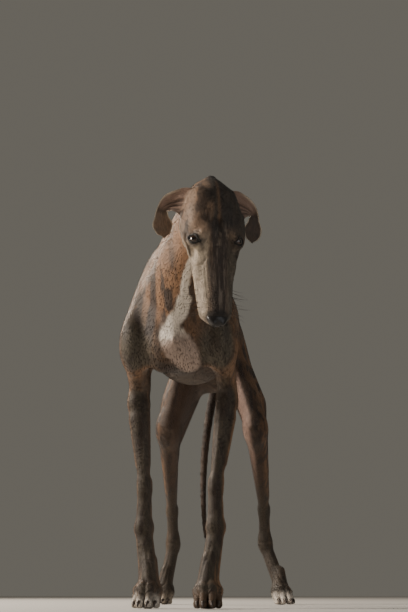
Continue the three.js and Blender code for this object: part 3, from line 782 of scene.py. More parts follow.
# Each line: height (hollows below 0), width, points. These lie on both sides of the trunk.
TRUNK_LINES = [
    (2.4, 8, [(44, -256, 690), (66, -300, 610), (84, -340, 530)]),  # ridge of the shoulder blade
    (-1.8, 10, [(48, -304, 690), (74, -350, 600), (92, -384, 520)]),  # in front of it
    (-2.6, 12, [(62, -224, 660), (86, -262, 580), (94, -286, 500)]),  # behind it
    (-2.2, 10, [(84, -212, 600), (90, -232, 520), (88, -256, 430)]),  # back edge of the upper arm
    (-1.6, 7, [(96, -330, 500), (98, -300, 440)]),  # between upper arm and triceps
    (-3.0, 22, [(80, 70, 610), (70, 150, 590)]),  # flank
    (1.6, 9, [(56, 44, 684), (84, 16, 610), (84, -40, 520), (56, -100, 462)]),  # last rib
    (2.4, 8, [(98, 214, 470), (82, 172, 530), (64, 124, 566)]),  # fold from knee to belly
    (-2.4, 9, [(72, 250, 620), (98, 238, 520), (112, 238, 440)]),  # front of the thigh
    (-2.6, 8, [(60, 344, 600), (92, 336, 520), (104, 318, 440)]),  # back of the thigh
    (2.0, 7, [(34, 200, 706), (46, 226, 692), (44, 250, 676)]),  # edge of the hip bone
    (-1.6, 8, [(20, -170, 704), (20, 170, 710)]),  # beside the spine
    (-1.6, 7, [(30, -420, 560), (30, -436, 490)]),  # between the two breast muscles
]
MIDLINE = [
    (1.4, 4, [(0, -240, 716), (0, -120, 700), (0, 60, 708), (0, 200, 700), (0, 340, 640)]),
    (1.6, 12, [(0, -436, 540), (0, -440, 470)]),  # breast bone
]
NECK_LINES = [
    (-3.0, 9, [(34, -480, 720), (4, -420, 640), (-34, -380, 560)]),  # jugular groove, right
    (-3.0, 9, [(104, -470, 700), (84, -410, 620), (50, -380, 540)]),  # jugular groove, left
    (2.0, 9, [(60, -520, 640), (38, -490, 590), (14, -450, 540)]),  # windpipe
    (2.2, 12, [(24, -470, 740), (-20, -400, 676), (-48, -330, 620)]),  # long muscle, right
    (2.2, 12, [(104, -450, 730), (72, -380, 670), (58, -320, 620)]),  # long muscle, left
    (-1.3, 5, [(26, -440, 470), (44, -420, 424), (50, -404, 408)]),  # fold of loose skin
]


def knuckle_line(leg, across):
    """The places between the toes' knuckles, each so far out from the middle of the foot."""
    x, y = leg["foot"]
    return [(x + step * leg["side"], y - 24, KNUCKLES - 8) for step in across]


def fore_lines(leg):
    at, wrist = beside(leg, "elbow"), beside(leg, "carpus")
    knuckles = zip((-6, 0, 6), knuckle_line(leg, (-12, 0, 12)))
    return [
        (1.2, 2.6, [at(-4, -26, -20), at(-8, -24, -90), wrist(-6, -12, 60)]),  # vein
        (-2.0, 5, [at(24, 0, -26), at(18, 4, -110), wrist(14, 8, 50)]),  # outer groove
        (-1.6, 5, [at(-18, 4, -40), wrist(-12, 8, 50)]),  # inner groove
        (1.2, 3.2, [wrist(0, 18, 70), wrist(0, 18, 10)]),  # tendon at the back
        (0.9, 5, [wrist(-9, -14, 10), wrist(-6, -15, -8)]),  # bones of the wrist
        (0.9, 5, [wrist(9, -14, 8), wrist(7, -15, -10)]),
        *[(-1.3, 2.6, [wrist(x, -14, -40), knuckle]) for x, knuckle in knuckles],
    ]


def hind_lines(leg):
    knee, heel = beside(leg, "stifle"), beside(leg, "hock")
    knuckles = zip((-5, 0, 5), knuckle_line(leg, (-11, 0, 11)))
    return [
        (-3.2, 6, [heel(12, -2, 120), heel(11, 8, 70), heel(12, 14, 30)]),  # before the tendon
        (-3.2, 6, [heel(-12, -2, 120), heel(-11, 8, 70), heel(-12, 14, 30)]),
        (1.1, 2.6, [knee(20, 70, -60), heel(14, -10, 120), heel(12, -8, 50)]),  # vein
        (2.0, 8, [knee(-10, -26, -4), knee(8, -28, 4)]),  # knee cap
        (-1.4, 5, [knee(10, -22, -20), knee(4, -2, -80)]),
        (1.4, 5, [heel(14, 2, 0), heel(14, 4, -12)]),  # knob of the hock
        (-0.9, 3, [heel(-12, -12, -6), heel(12, -12, -6)]),
        *[(-1.5, 2.4, [heel(x, -8, -24), knuckle]) for x, knuckle in knuckles],
    ]


# The same for the left half of the head, in the head's frame
HEAD_LINES = [
    (1.8, 5, [(66, 54, -6), (96, 54, -4), (120, 48, -3)]),  # cheek arch
    (-2.0, 5, [(120, 46, -12), (124, 40, -24), (122, 30, -40)]),  # front edge of the jaw muscle
    (-2.2, 8, [(78, 48, 12), (108, 42, 16)]),  # temple
    (2.2, 5, [(96, 8, 34), (110, 20, 34), (119, 31, 29), (124, 40, 22)]),  # brow
    (-1.6, 5, [(92, 0, 38), (136, 0, 28)]),  # between the brows
    (-0.9, 2.2, [(84, 12, 41), (106, 14, 36)]),  # wrinkles of the brow
    (-0.8, 2.2, [(78, 20, 40), (102, 24, 34)]),
    (-1.6, 3, [(122, 16, 27), (134, 22, 20), (142, 28, 14)]),  # inside of the eye
    (-1.4, 2.4, [(110, 49, 4), (126, 46, -4), (140, 42, -8)]),  # crease from the outer corner
    (1.8, 7, [(140, 36, 6), (162, 31, 2)]),  # bump below the eye
    (-1.3, 2.6, [(150, 41, -8), (167, 35, -3), (169, 27, 7), (158, 20, 14)]),  # its lower edge
    (-1.1, 2.6, [(172, 35, -12), (186, 32, -6)]),
    (-0.6, 2.0, [(168, 22, 10), (200, 18, 6), (226, 16, 3)]),  # vein beside the bridge
    (1.0, 3.4, [(170, 37, -19), (206, 32, -18), (242, 27, -16), (L - 14, 19, -12)]),  # upper lip
    (0.8, 2.6, [(160, 38, -31), (206, 29, -29), (242, 24, -28)]),  # lower lip
    (-1.0, 3, [(118, 30, -44), (150, 18, -42)]),  # edge of the jaw below
]
# And round the left eye, in the almond's own axes
LID_LINES = [
    (-1.2, 1.7, [(-13, 1), (-7, 8.5), (1, 11.5), (9, 8)]),  # crease of the upper lid
    (-1.2, 2.0, [(-12, -6), (-4, -11.5), (5, -11), (12, -6)]),  # fold below the eye
    (-0.9, 2.4, [(-10, -13), (0, -17.5), (10, -14)]),  # second fold
    (-0.9, 1.5, [(11, 0), (15, -2), (18, -6)]),  # tear line
]
MOUTH_DEEP = 2.4
RIB_SPACING = 27
RIB_HEIGHT = 1.3
KNOB_SPACING = 25  # between the knobs of the spine
KNOB_HEIGHT = 0.9


def relief_lines():
    """The lines of relief in the dog's frame, all but those of the trunk's sides."""
    rows = MIDLINE + NECK_LINES
    for leg in FORE.values():
        rows = rows + fore_lines(leg)
    for leg in HIND.values():
        rows = rows + hind_lines(leg)
    lids = [(height, width, [on_eye(*pair) for pair in pairs]) for height, width, pairs in LID_LINES]
    for side in (1, -1):
        for height, width, points in HEAD_LINES + lids:
            rows = rows + [(height, width, from_head(np.asarray(points, float) * (1, side, 1)))]
    return rows


def relief(p):
    """The height of the skin's small forms over the smooth body."""
    total = np.zeros(len(p))
    m = mirrored(p)
    for where, rows in ((m, TRUNK_LINES), (p, relief_lines())):
        lines = laid([points for _, _, points in rows])
        for (height, width, _), line in zip(rows, lines):
            total += height * nearness(where, line, width)
    swept = p[:, 1] - 0.3 * (p[:, 2] - 560) + 0.0012 * (p[:, 2] - 540) ** 2
    ribs = np.cos(2 * math.pi * swept / RIB_SPACING)
    window = smoothstep(-200, -140, p[:, 1]) * smoothstep(70, 20, p[:, 1])
    window *= smoothstep(450, 500, p[:, 2]) * smoothstep(670, 620, p[:, 2]) * smoothstep(40, 62, m[:, 0])
    knobs = np.cos(2 * math.pi * p[:, 1] / KNOB_SPACING) * smoothstep(9, 3, m[:, 0])
    knobs *= smoothstep(-210, -150, p[:, 1]) * smoothstep(300, 240, p[:, 1]) * (p[:, 2] > 640)
    return total + RIB_HEIGHT * ribs * window + KNOB_HEIGHT * knobs


def open_lids(p):
    """Sinks the skin to just behind the eyeball where the lids are open, and lifts their rims."""
    for side in (1, -1):
        flip = np.array([1, side, 1])
        q = to_head(p) * flip
        off = q - EYE_AT
        r = np.linalg.norm(off, axis=1)
        close = np.flatnonzero((r < EYE_RADIUS + 8) & (off @ GAZE > 0))
        away, _ = almond(q[close])
        opened = smoothstep(0.5, -0.6, away)
        rim = 0.7 * np.exp(-(((away - 1.3) / 0.9) ** 2))
        shut = r[close] + rim
        wanted = shut + (np.minimum(shut, EYE_RADIUS - 0.9) - shut) * opened
        q[close] = EYE_AT + off[close] * (wanted / r[close])[:, None]
        p[close] = from_head(q[close] * flip)
    return p


def part_lips(p, n):
    """Presses the line of the mouth into the skin."""
    for side in (1, -1):
        line = on_skin(from_head(np.asarray(MOUTH) * (1, side, 1)))
        p = p - n * (MOUTH_DEEP * nearness(p, line, 1.5))[:, None]
    return p


FINE_REACH = 62  # how far from the middle of head or paw its finer mesh goes
FINE_PAW = 46  # and how far up from the floor


def in_head(p):
    x, y, z = to_head(p).T
    return (x > 6) & (x < L + 6) & (np.abs(y) < FINE_REACH) & (np.abs(z) < FINE_REACH)


def in_paws(p):
    inside = np.zeros(len(p), bool)
    for leg in (*FORE.values(), *HIND.values()):
        x, y = leg["foot"]
        inside |= np.hypot(p[:, 0] - x, p[:, 1] - y + 20) < FINE_REACH
    return inside & (p[:, 2] < FINE_PAW)


def near_eyes_and_lips(p):
    q = mirrored(to_head(p), 1)
    chosen = np.linalg.norm(q - EYE_AT, axis=1) < 24
    for a, b in zip(MOUTH[:-1], MOUTH[1:]):
        a, b = np.array(a, float), np.array(b, float)
        t = np.clip((q - a) @ (b - a) / ((b - a) @ (b - a)), 0, 1)
        chosen |= np.linalg.norm(q - a - t[:, None] * (b - a), axis=1) < 6
    return chosen


SKIN_STEP = 2.6
skin_low = (cad_low[0] / MM - SHIFT[0] / MM - 8, cad_low[1] / MM - SHIFT[1] / MM - 8, -6)
skin_high = (cad_high[0] / MM - SHIFT[0] / MM + 8, cad_high[1] / MM - SHIFT[1] / MM + 8, cad_high[2] / MM + 8)


def build_skin():
    """One closed skin, finer on the head and paws and finest at the eyes and lips."""
    points, quads = surface_net(dog_field, skin_low, skin_high, SKIN_STEP)
    points = settle(dog_field, points, 1)
    piece = mesh_object("skin", to_scene(points), quads)
    mesh = piece.data
    for choose in (lambda p: in_head(p) | in_paws(p), near_eyes_and_lips):
        chosen = choose(points)
        refine(mesh, chosen)
        points = points_of(mesh)
        chosen = choose(points)
        points[chosen] = settle(dog_field, points[chosen], 2)
        set_points(mesh, points)
    lifted = points + normals_of(mesh) * relief(points)[:, None]
    lifted[:, 2] = np.maximum(lifted[:, 2], 0.3)
    lifted = part_lips(lifted, normals_of(mesh))
    set_points(mesh, open_lids(lifted))
    mesh.polygons.foreach_set("use_smooth", [True] * len(mesh.polygons))
    return piece


# Markings and painted shade, worked out once for the skin and for the roots of the tufts
def srgb(*channels):
    c = np.array(channels) / 255
    return np.where(c < 0.04045, c / 12.92, ((c + 0.055) / 1.055) ** 2.4)


FAWN = srgb(152, 116, 87)
TAN = srgb(158, 115, 79)
BROWN = srgb(97, 77, 60)
OLIVE = srgb(108, 100, 87)
DARK = srgb(50, 40, 35)
CHARCOAL = srgb(46, 40, 38)
BLACK = srgb(22, 19, 18)
CREAM = srgb(200, 184, 163)
WHITE = srgb(226, 217, 206)
PINK = srgb(190, 158, 144)
GREY = srgb(120, 110, 100)


def over(colour, other, amount):
    """A colour changed towards another by an amount from 0 to 1, or by one for each point."""
    amount = np.clip(np.asarray(amount, float), 0, 1)
    return colour + (other - colour) * (amount[:, None] if amount.ndim else amount)


def brindle(p, size, seed, low, high):
    """Dark streaks: 1 where warped noise is above `high`, 0 where it is below `low`."""
    warp = 14 * (noise(p, (60, 60, 60), seed + 7) - 0.5)
    return smoothstep(low, high, layered(p + warp[:, None], size, seed))


def within(p, centre, radii, soft):
    """1 inside an ellipsoid, falling to 0 over `soft` of its size."""
    r = np.linalg.norm((p - centre) / radii, axis=1)
    return smoothstep(1 + soft, 1 - soft, r)


# The white streak from the throat to the chest, and dark ones on the right: points and width
THROAT_STREAK = [
    (40, -500, 606),
    (29, -481, 584),
    (24, -470, 565),
    (21, -454, 545),
    (12, -439, 524),
    (-1, -434, 511),
    (-8, -433, 490),
]
SHOULDER_STREAKS = [
    ([(-78, -380, 562), (-77, -380, 556)], 5),
    ([(-70, -382, 539), (-76, -382, 505), (-80, -378, 466)], 6),
    ([(-39, -430, 590), (-44, -420, 539), (-49, -416, 498)], 13),
    ([(-6, -450, 560), (-10, -446, 535)], 12),
]


def body_colours(p, n, part):
    """The dog without its head. `part` holds how much each point belongs to each part."""
    side = np.sign(p[:, 0])
    outward = n[:, 0] * side
    streak = brindle(p, (11, 10, 50), 3, 0.46, 0.6)
    fine = layered(p, (6, 5, 30), 11)
    trunk = over(over(FAWN, BROWN, 0.5 + 0.4 * fine), DARK, 0.78 * streak)
    trunk = over(trunk, OLIVE, 0.35 * smoothstep(640, 700, p[:, 2]))
    # painted shade: the trunk is painted darker brown wherever its skin faces down, under the chest and the
    # belly
    painted_underside_shade = smoothstep(-0.35, -0.8, n[:, 2])
    trunk = over(trunk, BROWN * 0.5, 0.75 * painted_underside_shade)
    neck_streak = brindle(p, (10, 24, 48), 21, 0.48, 0.64)
    low_neck = smoothstep(660, 560, p[:, 2])
    neck = over(over(FAWN, TAN, 0.5), BROWN, 0.25 + 0.3 * fine)
    neck = over(neck, DARK, (0.45 + 0.45 * low_neck) * neck_streak)
    # painted shade: the neck is painted browner where it faces the dog's left, the side turned away from the
    # light
    neck = over(neck, BROWN, 0.5 * smoothstep(-0.2, 0.5, n[:, 0]))
    front = smoothstep(0.1, 0.7, -n[:, 1])
    leg_streak = brindle(p, (7, 9, 34), 31, 0.44, 0.62)
    fore = over(over(TAN, BROWN, 0.3), DARK, 0.55 * leg_streak)
    shin = over(OLIVE * 0.34, DARK * 0.8, 0.75 * leg_streak)
    fore = over(fore, shin, 0.96 * front)
    # the inner sides of the forelegs dark grey: partly their own markings, partly painted shade of the sides
    # turned from the light
    fore = over(fore, GREY * 0.45, 0.6 * smoothstep(-0.35, -0.8, outward))
    hind = over(over(FAWN, BROWN, 0.85), DARK, 0.55 + 0.4 * leg_streak)
    hind = over(hind, TAN, 0.5 * smoothstep(0.45, 0.9, outward) * (1 - leg_streak))
    hind = over(hind, DARK, 0.5 * front)
    inner = smoothstep(-0.15, -0.6, outward) * smoothstep(250, 340, p[:, 2])
    # the inner thighs pinkish skin, their own colour; on the right hind leg painted dark brown instead, as
    # painted shade
    hind = over(hind, over(PINK * 0.6, BROWN * 0.45, 0.85 * (p[:, 0] < 0)), 0.7 * inner)
    shank = smoothstep(300, 220, p[:, 2])
    hind = over(hind, OLIVE * 0.36, 0.6 * shank)
    # the tail near black: its own dark coat, darkened further as painted shade
    tail = over(over(BROWN, DARK, 0.75), BLACK, 0.6 * streak)
    colours = [trunk, neck, tail, fore, fore, hind, hind]
    total = sum(c * w[:, None] for c, w in zip(colours, part))
    shoulder = within(mirrored(p), (76, -392, 452), (38, 60, 66), 0.35)
    total = over(total, over(OLIVE * 0.62, DARK, 0.5 * leg_streak), 0.88 * shoulder * front)
    mottle = 0.62 + 0.76 * layered(p, (3.2, 3.2, 15), 45)
    total = total * mottle[:, None]
    for points, width in SHOULDER_STREAKS:
        mark = nearness(p, on_skin(points), width)
        total = over(total, DARK, 0.9 * smoothstep(0.25, 0.75, mark * (0.7 + 0.6 * fine)))
    leaning = p + 9 * (fine[:, None] - 0.5)
    leaning[:, 0] += 0.42 * (p[:, 2] - 462)
    chest = within(leaning, (9, -412, 464), (32, 90, 42), 0.14)
    lower = smoothstep(500, 466, p[:, 2] - 0.3 * p[:, 0])
    patch = over(WHITE, over(PINK, GREY, 0.55), 0.9 * lower)
    # painted shade under the brisket: a dark band below the white chest patch, where the chest turns under
    painted_brisket_shade = within(p, (7, -400, 460), (48, 100, 52), 0.16) * smoothstep(446, 430, p[:, 2])
    total = over(total, DARK, 0.8 * painted_brisket_shade)
    total = over(total, patch, chest)
    ragged = p + 4 * (fine[:, None] - 0.5)
    throat = nearness(ragged, on_skin(THROAT_STREAK[:4]), 9)
    throat = np.maximum(throat, nearness(ragged, on_skin(THROAT_STREAK[3:]), 15))
    return over(total, WHITE, smoothstep(0.3, 0.62, throat))


TOE_COLOURS = [
    # leg, its colour at the toes, and how high that reaches
    (FORE["left"], BROWN * 0.75, 30),
    (FORE["right"], over(WHITE, GREY, 0.25), 22),
    (HIND["left"], over(WHITE, GREY, 0.25), 26),
    (HIND["right"], over(CREAM, GREY, 0.5), 24),
]


def paw_colours(colours, p, n):
    ragged = 10 * (layered(p, (9, 9, 14), 41) - 0.5)
    for leg, toes, high in TOE_COLOURS:
        foot = leg["foot"]
        here = np.hypot(p[:, 0] - foot[0], p[:, 1] - foot[1] + 20) < 70
        colours = over(colours, toes, here * smoothstep(high + 10, high - 12, p[:, 2] + 2 * ragged))
    pad = smoothstep(-0.6, -0.9, n[:, 2]) * smoothstep(7, 3, p[:, 2])
    return over(colours, BLACK * 1.6, pad)


def head_colours(p):
    q = to_head(p)
    m = mirrored(q, 1)
    x, y, z = q.T
    marble = layered(q, (26, 13, 16), 51)
    lines = layered(q, (34, 3.2, 5), 61)
    colour = over(FAWN, GREY, 0.2 + 0.6 * marble)
    spots = brindle(q, (26, 10, 14), 55, 0.48, 0.64) * smoothstep(122, 100, x)
    colour = over(colour, DARK, 0.75 * spots)
    # The dog's left half of the forehead and bridge, dark olive and charcoal: mottled markings, darkened
    # further as painted shade of the side turned from the light
    dark_half_and_shade = smoothstep(-24, -4, y + 12 * (marble - 0.5)) * smoothstep(134, 100, x)
    half_colour = over(OLIVE * 0.42, CHARCOAL * 0.8, 0.3 + 0.9 * marble)
    colour = over(colour, half_colour, 0.93 * dark_half_and_shade)
    crown = np.exp(-(((y - 2) / 3.0) ** 2)) * smoothstep(0, 20, x) * smoothstep(104, 84, x)
    colour = over(colour, FAWN, 0.35 * crown)
    cheek = smoothstep(108, 134, x) * smoothstep(8, 22, m[:, 1] + 5 * (marble - 0.5))
    # painted shade: the cheek on the dog's left, pale like the right one, is painted dark olive, and the
    # cream below it is muted
    far_side_shade = smoothstep(-4, 12, y)
    pale = over(over(CREAM, GREY, 0.3), BROWN, 0.3 * smoothstep(0.5, 0.7, marble))
    side_colour = over(pale, OLIVE * 0.34, 0.93 * far_side_shade)
    colour = over(colour, side_colour, 0.92 * cheek)
    below = smoothstep(-10, -28, z)
    colour = over(colour, CREAM * 0.9, 0.8 * below * smoothstep(60, 110, x) * (1 - 0.8 * far_side_shade))
    width = np.interp(x, [92, 126, 170, 230, L], [16, 17, 17, 17, 18])
    middle = np.interp(x, [92, 126, 180, L], [6, 3, 2, 1])
    bridge = smoothstep(width + 6, width - 8, np.abs(y - middle) + 12 * (lines - 0.5))
    bridge = bridge * smoothstep(82, 112, x) * smoothstep(-16, -2, z)
    ink = over(CHARCOAL, GREY, 0.8 * smoothstep(0.45, 0.75, lines))
    colour = over(colour, ink, 0.9 * bridge)
    flecks = smoothstep(0.56, 0.72, layered(q, (20, 2.6, 4), 66)) * cheek * smoothstep(150, 190, x)
    colour = over(colour, GREY, 0.5 * flecks)
    bump = within(q, (152, -34, 6), (17, 11, 14), 0.4)
    colour = over(colour, CREAM, 0.5 * bump)
    tip = within(m, (L - 4, 4, 4), (20, 26, 15), 0.3)
    colour = over(colour, BLACK * 1.4, 0.85 * tip * smoothstep(-14, -4, z))
    colour = over(colour, CREAM, 0.8 * within(q, (L - 16, 0, -30), (22, 24, 11), 0.3))
    away, out = almond(m)
    seen = (out > 0) & (np.linalg.norm(m - EYE_AT, axis=1) < 34)
    # painted shade of the brow: the skin darker within about 12 mm of the open lids; the black lid rims next
    # are their own colour
    colour = over(colour, DARK, 0.72 * seen * smoothstep(12, 3, away))
    colour = over(colour, BLACK, seen * smoothstep(3.6, 1.8, away))
    # painted shade in the crease from the eye's outer corner, which the relief also carves
    corner = nearness(m, resampled([(108, 50, 6), (128, 46, -4), (144, 42, -9)]), 3.0)
    colour = over(colour, DARK, 0.75 * corner)
    tear = nearness(m, resampled([(134, 28, 16), (150, 22, 12), (166, 19, 9)]), 2.5)
    colour = over(colour, DARK, 0.5 * tear)
    colour = colour * (0.74 + 0.52 * layered(q, (12, 2.4, 3.4), 91))[:, None]
    lip = nearness(m, resampled(MOUTH), 2.6)
    colour = over(colour, DARK, 0.85 * smoothstep(0.3, 0.8, lip))
    mole = within(q, (104, -52, -2), (3, 4, 3), 0.3)
    return over(colour, BLACK, mole)


part_fields = [trunk_field, neck_field, tail_field, *fore_fields, *hind_fields]
PART_NAMES = ["torso", "neck", "tail", "foreleg_left", "foreleg_right", "hindleg_left", "hindleg_right"]
PART_SOFT = 9.0


def shares(p):
    """How much each point belongs to each part of the body, and how much to the head."""
    values = np.stack([field(p) for field in part_fields])
    weight = np.exp(-np.clip(values - values.min(0), 0, 80) / PART_SOFT)
    part = weight / weight.sum(0)
    head = smoothstep(8, -8, head_field(p) - values.min(0))
    return part, head


def coat_colours(p, n):
    part, head = shares(p)
    colours = paw_colours(body_colours(p, n, part), p, n)
    return colours + (head_colours(p) - colours) * head[:, None]


# The way the hair lies
def combed(lies, n):
    """The lies made square to the skin's normals and of unit length."""
    lies = lies - n * (lies * n).sum(1)[:, None]
    return lies / np.maximum(np.linalg.norm(lies, axis=1), 1e-6)[:, None]


def lie_of(p, n):
    part, head = shares(p)
    side = np.sign(p[:, 0])
    count = len(p)
    back = np.tile((0.0, 1.0, -0.22), (count, 1))
    back[:, 2] -= 0.7 * smoothstep(600, 470, p[:, 2])
    neck = np.tile((-0.45, 0.7, -0.6), (count, 1))
    neck[:, 2] -= 0.5 * smoothstep(-0.2, -0.8, n[:, 1])
    tail = np.tile((0.0, 0.05, -1.0), (count, 1))
    down = np.column_stack([0.06 * side, np.full(count, 0.25), np.full(count, -1.0)])
    total = back * part[0][:, None] + neck * part[1][:, None] + tail * part[2][:, None]
    total += down * part[3:].sum(0)[:, None]
    q = to_head(p)
    fan = np.column_stack([np.full(count, -1.0), 0.012 * q[:, 1], np.full(count, -0.1)])
    face = fan @ HEAD_TURN.T
    return combed(total * (1 - head)[:, None] + face * head[:, None], n)


def set_attribute(mesh, name, kind, field, values):
    layer = mesh.attributes.new(name, kind, "POINT")
    layer.data.foreach_set(field, np.asarray(values, np.float32).ravel())


def dress(piece, colours, lies):
    """Stores the markings with their painted shade, and the lie of the hair, on a piece's points."""
    mesh = piece.data
    rgba = np.column_stack([np.clip(colours, 0, 1), np.ones(len(colours))])
    set_attribute(mesh, "paint", "FLOAT_COLOR", "color", rgba)
    set_attribute(mesh, "lie", "FLOAT_VECTOR", "vector", lies * lies)


# Ears: rows along the leaf with its middle, half width, depth of the cup and facing, close to
# the solids', in the head's frame on the left side
EAR = [
    [44, 34, 2, 26, 8, 0, 0.72, 0.7],
    [40, 53, -11, 24, 14, -0.05, 0.6, 0.8],
    [38, 70, -24, 19, 15, -0.1, 0.5, 0.86],
    [43, 82, -33, 11, 10, 0.1, 0.35, 0.93],
    [54, 85, -38, 11, 5, 0.05, 0.25, 0.95],
    [68, 84, -41, 17, 4, 0, 0.2, 0.97],
    [81, 82, -42, 16.5, 3, 0, 0.2, 0.97],
    [91, 81, -42, 10, 1.5, 0, 0.2, 0.97],
    [97, 81, -42, 1.5, 0, 0, 0.2, 0.97],
]
EAR_THICK = 2.5
EAR_ROWS = 72
EAR_ACROSS = 30  # columns over each of its two faces
EAR_FILLET = 8.0  # radius of the rounding where it leaves the skull
EAR_RIDGES = [(-0.5, 2.4), (-0.05, 3.2), (0.42, 2.6)]  # folds in the cup: place across, height


def ear_grid():
    """Points of the leaf's two faces, the outward way at each, and how far along and across."""
    table = np.column_stack([np.arange(len(EAR)), np.asarray(EAR, float)])
    s = np.linspace(0.2, len(EAR) - 1, EAR_ROWS)
    here = columns_at(table, s).T
    ahead = columns_at(table, s + 0.05).T[:, :3]
    behind = columns_at(table, s - 0.05).T[:, :3]
    along = ahead - behind
    along /= np.linalg.norm(along, axis=1)[:, None]
    wide = np.cross(along, here[:, 5:8])
    wide /= np.linalg.norm(wide, axis=1)[:, None]
    out = np.cross(wide, along)
    half, cup = here[:, 3:4, None], here[:, 4:5, None]
    turn = np.linspace(0, 2 * math.pi, 2 * EAR_ACROSS, endpoint=False)
    k = np.cos(turn)
    face = np.sin(turn)
    k3 = k[None, :, None]
    wave = sum(h * np.exp(-(((k - at) / 0.13) ** 2)) for at, h in EAR_RIDGES)
    fade = smoothstep(3.4, 2.0, s)[:, None, None] * smoothstep(0.2, 1.0, s)[:, None, None]
    ripple = 1.1 * np.sin(4.3 * s + 0.6)[:, None] * (np.abs(k) ** 3)[None, :]
    middle = here[:, None, :3] + wide[:, None] * half * k3 + out[:, None] * cup * (k3 * k3 - 0.5)
    tilt = out[:, None] * half - wide[:, None] * 2 * cup * k3
    tilt = tilt / np.linalg.norm(tilt, axis=2)[:, :, None]
    thick = 0.5 * EAR_THICK * (1 - 0.3 * k * k) * face
    inner = (face > 0)[None, :, None]
    p = middle + tilt * thick[None, :, None] + tilt * (wave[None, :, None] * fade * inner)
    p = p + tilt * ripple[:, :, None]
    outward = tilt * face[None, :, None] + wide[:, None] * k3 * 0.6
    outward /= np.linalg.norm(outward, axis=2)[:, :, None]
    return p, outward, along, s, k, face


def fillet(p, outward):
    """Spreads the root of the leaf out over the skull. Points in the dog's frame."""
    height, _, steep = slopes(dog_field, p)
    height = height / np.maximum(steep, 0.6)
    share = np.clip(height / EAR_FILLET, 0, 1)
    angle = (1 - share) * math.pi / 2
    spread = p + outward * (EAR_FILLET * (1 - np.cos(angle)))[:, None]
    wanted = np.where(height > 0, EAR_FILLET * (1 - np.sin(angle)), -0.5 - 0.05 * np.abs(height))
    near_root = height < EAR_FILLET
    for _ in range(3):
        now, normal, steep = slopes(dog_field, spread)
        move = np.clip((now - wanted) / steep, -3, 3) * near_root
        spread = spread - normal * move[:, None]
    return spread


def build_ear(name, side):
    p, outward, along, s, k, face = ear_grid()
    flip = np.array([1, side, 1])
    rows, columns = p.shape[:2]
    points = from_head(p.reshape(-1, 3) * flip)
    ways = (outward.reshape(-1, 3) * flip) @ HEAD_TURN.T
    points = fillet(points, ways)
    i, j = np.meshgrid(np.arange(rows - 1), np.arange(columns), indexing="ij")
    a = i * columns + j
    b = i * columns + (j + 1) % columns
    quads = np.stack([a, a + columns, b + columns, b], -1).reshape(-1, 4)
    if side < 0:
        quads = quads[:, ::-1]
    tip = np.arange(columns // 2 - 1)
    last = (rows - 1) * columns
    cap = np.stack([last + tip, last + tip + 1, last + columns - 2 - tip, last + columns - 1 - tip], -1)
    quads = np.concatenate([quads, cap if side < 0 else cap[:, ::-1]])
    piece = mesh_object(name, to_scene(points), quads)
    run = np.repeat((along * flip) @ HEAD_TURN.T, columns, axis=0)
    fine = layered(p.reshape(-1, 3), (7, 5, 5), 71)
    across = np.tile(np.abs(k), rows)
    inside = np.tile(face > 0.02, rows)
    reach = np.repeat(s, columns)
    colour = over(FAWN, GREY * 0.8, 0.3 + 0.6 * fine)
    if side > 0:
        colour = over(colour, CHARCOAL, 0.75)
    colour = over(colour, over(PINK, BROWN, 0.55), 0.85 * inside * smoothstep(4, 2.5, reach))
    # painted shade in the grooves beside the folds of the ear's cup
    groove = np.tile(sum(np.exp(-(((k - at - 0.22) / 0.09) ** 2)) for at, _ in EAR_RIDGES), rows)
    colour = over(colour, DARK, 0.75 * inside * groove * smoothstep(3.8, 2.2, reach))
    # painted shade in the fold where the leaf turns over
    colour = over(colour, DARK, 0.6 * inside * np.exp(-(((reach - 3.5) / 0.35) ** 2)))
    # painted highlight: a pale cream rim along the leaf's edges, standing in for rim light
    colour = over(colour, CREAM, 0.85 * smoothstep(0.84, 0.96, across) * smoothstep(0.8, 2.0, reach))
    base = coat_colours(points, normals_of(piece.data))
    height = dog_field(points)
    colour = base + (colour - base) * smoothstep(1.0, 7.0, height)[:, None]
    dress(piece, colour, run)
    return piece, colour, run


# Tufts of short hair: bent three-sided spikes that lie along the coat
HAIR_RATE = 1.0
COVER = 0.285  # the tufts' length times width for each part of the skin
EAR_HAIR = (2.8, 0.3, 0.12)  # length, width and lift on the ears
EAR_DENSITY = 0.34  # tufts to a square millimetre there
TUFT_FACES = np.array([
    (0, 1, 4), (0, 4, 3), (1, 2, 5), (1, 5, 4), (2, 0, 3), (2, 3, 5), (3, 4, 6), (4, 5, 6), (5, 3, 6),
])
PATCH = 0.003  # side of each tuft's patch on the bake map
TUFT_PATCH = np.array([(0, 0), (0.5, 0), (1, 0), (0, 0.5), (0.5, 0.5), (1, 0.5), (0.5, 1)]) * PATCH
draw = np.random.default_rng(20)


def triangles_of(mesh):
    mesh.calc_loop_triangles()
    flat = np.empty(len(mesh.loop_triangles) * 3, np.int32)
    mesh.loop_triangles.foreach_get("vertices", flat)
    return flat.reshape(-1, 3)


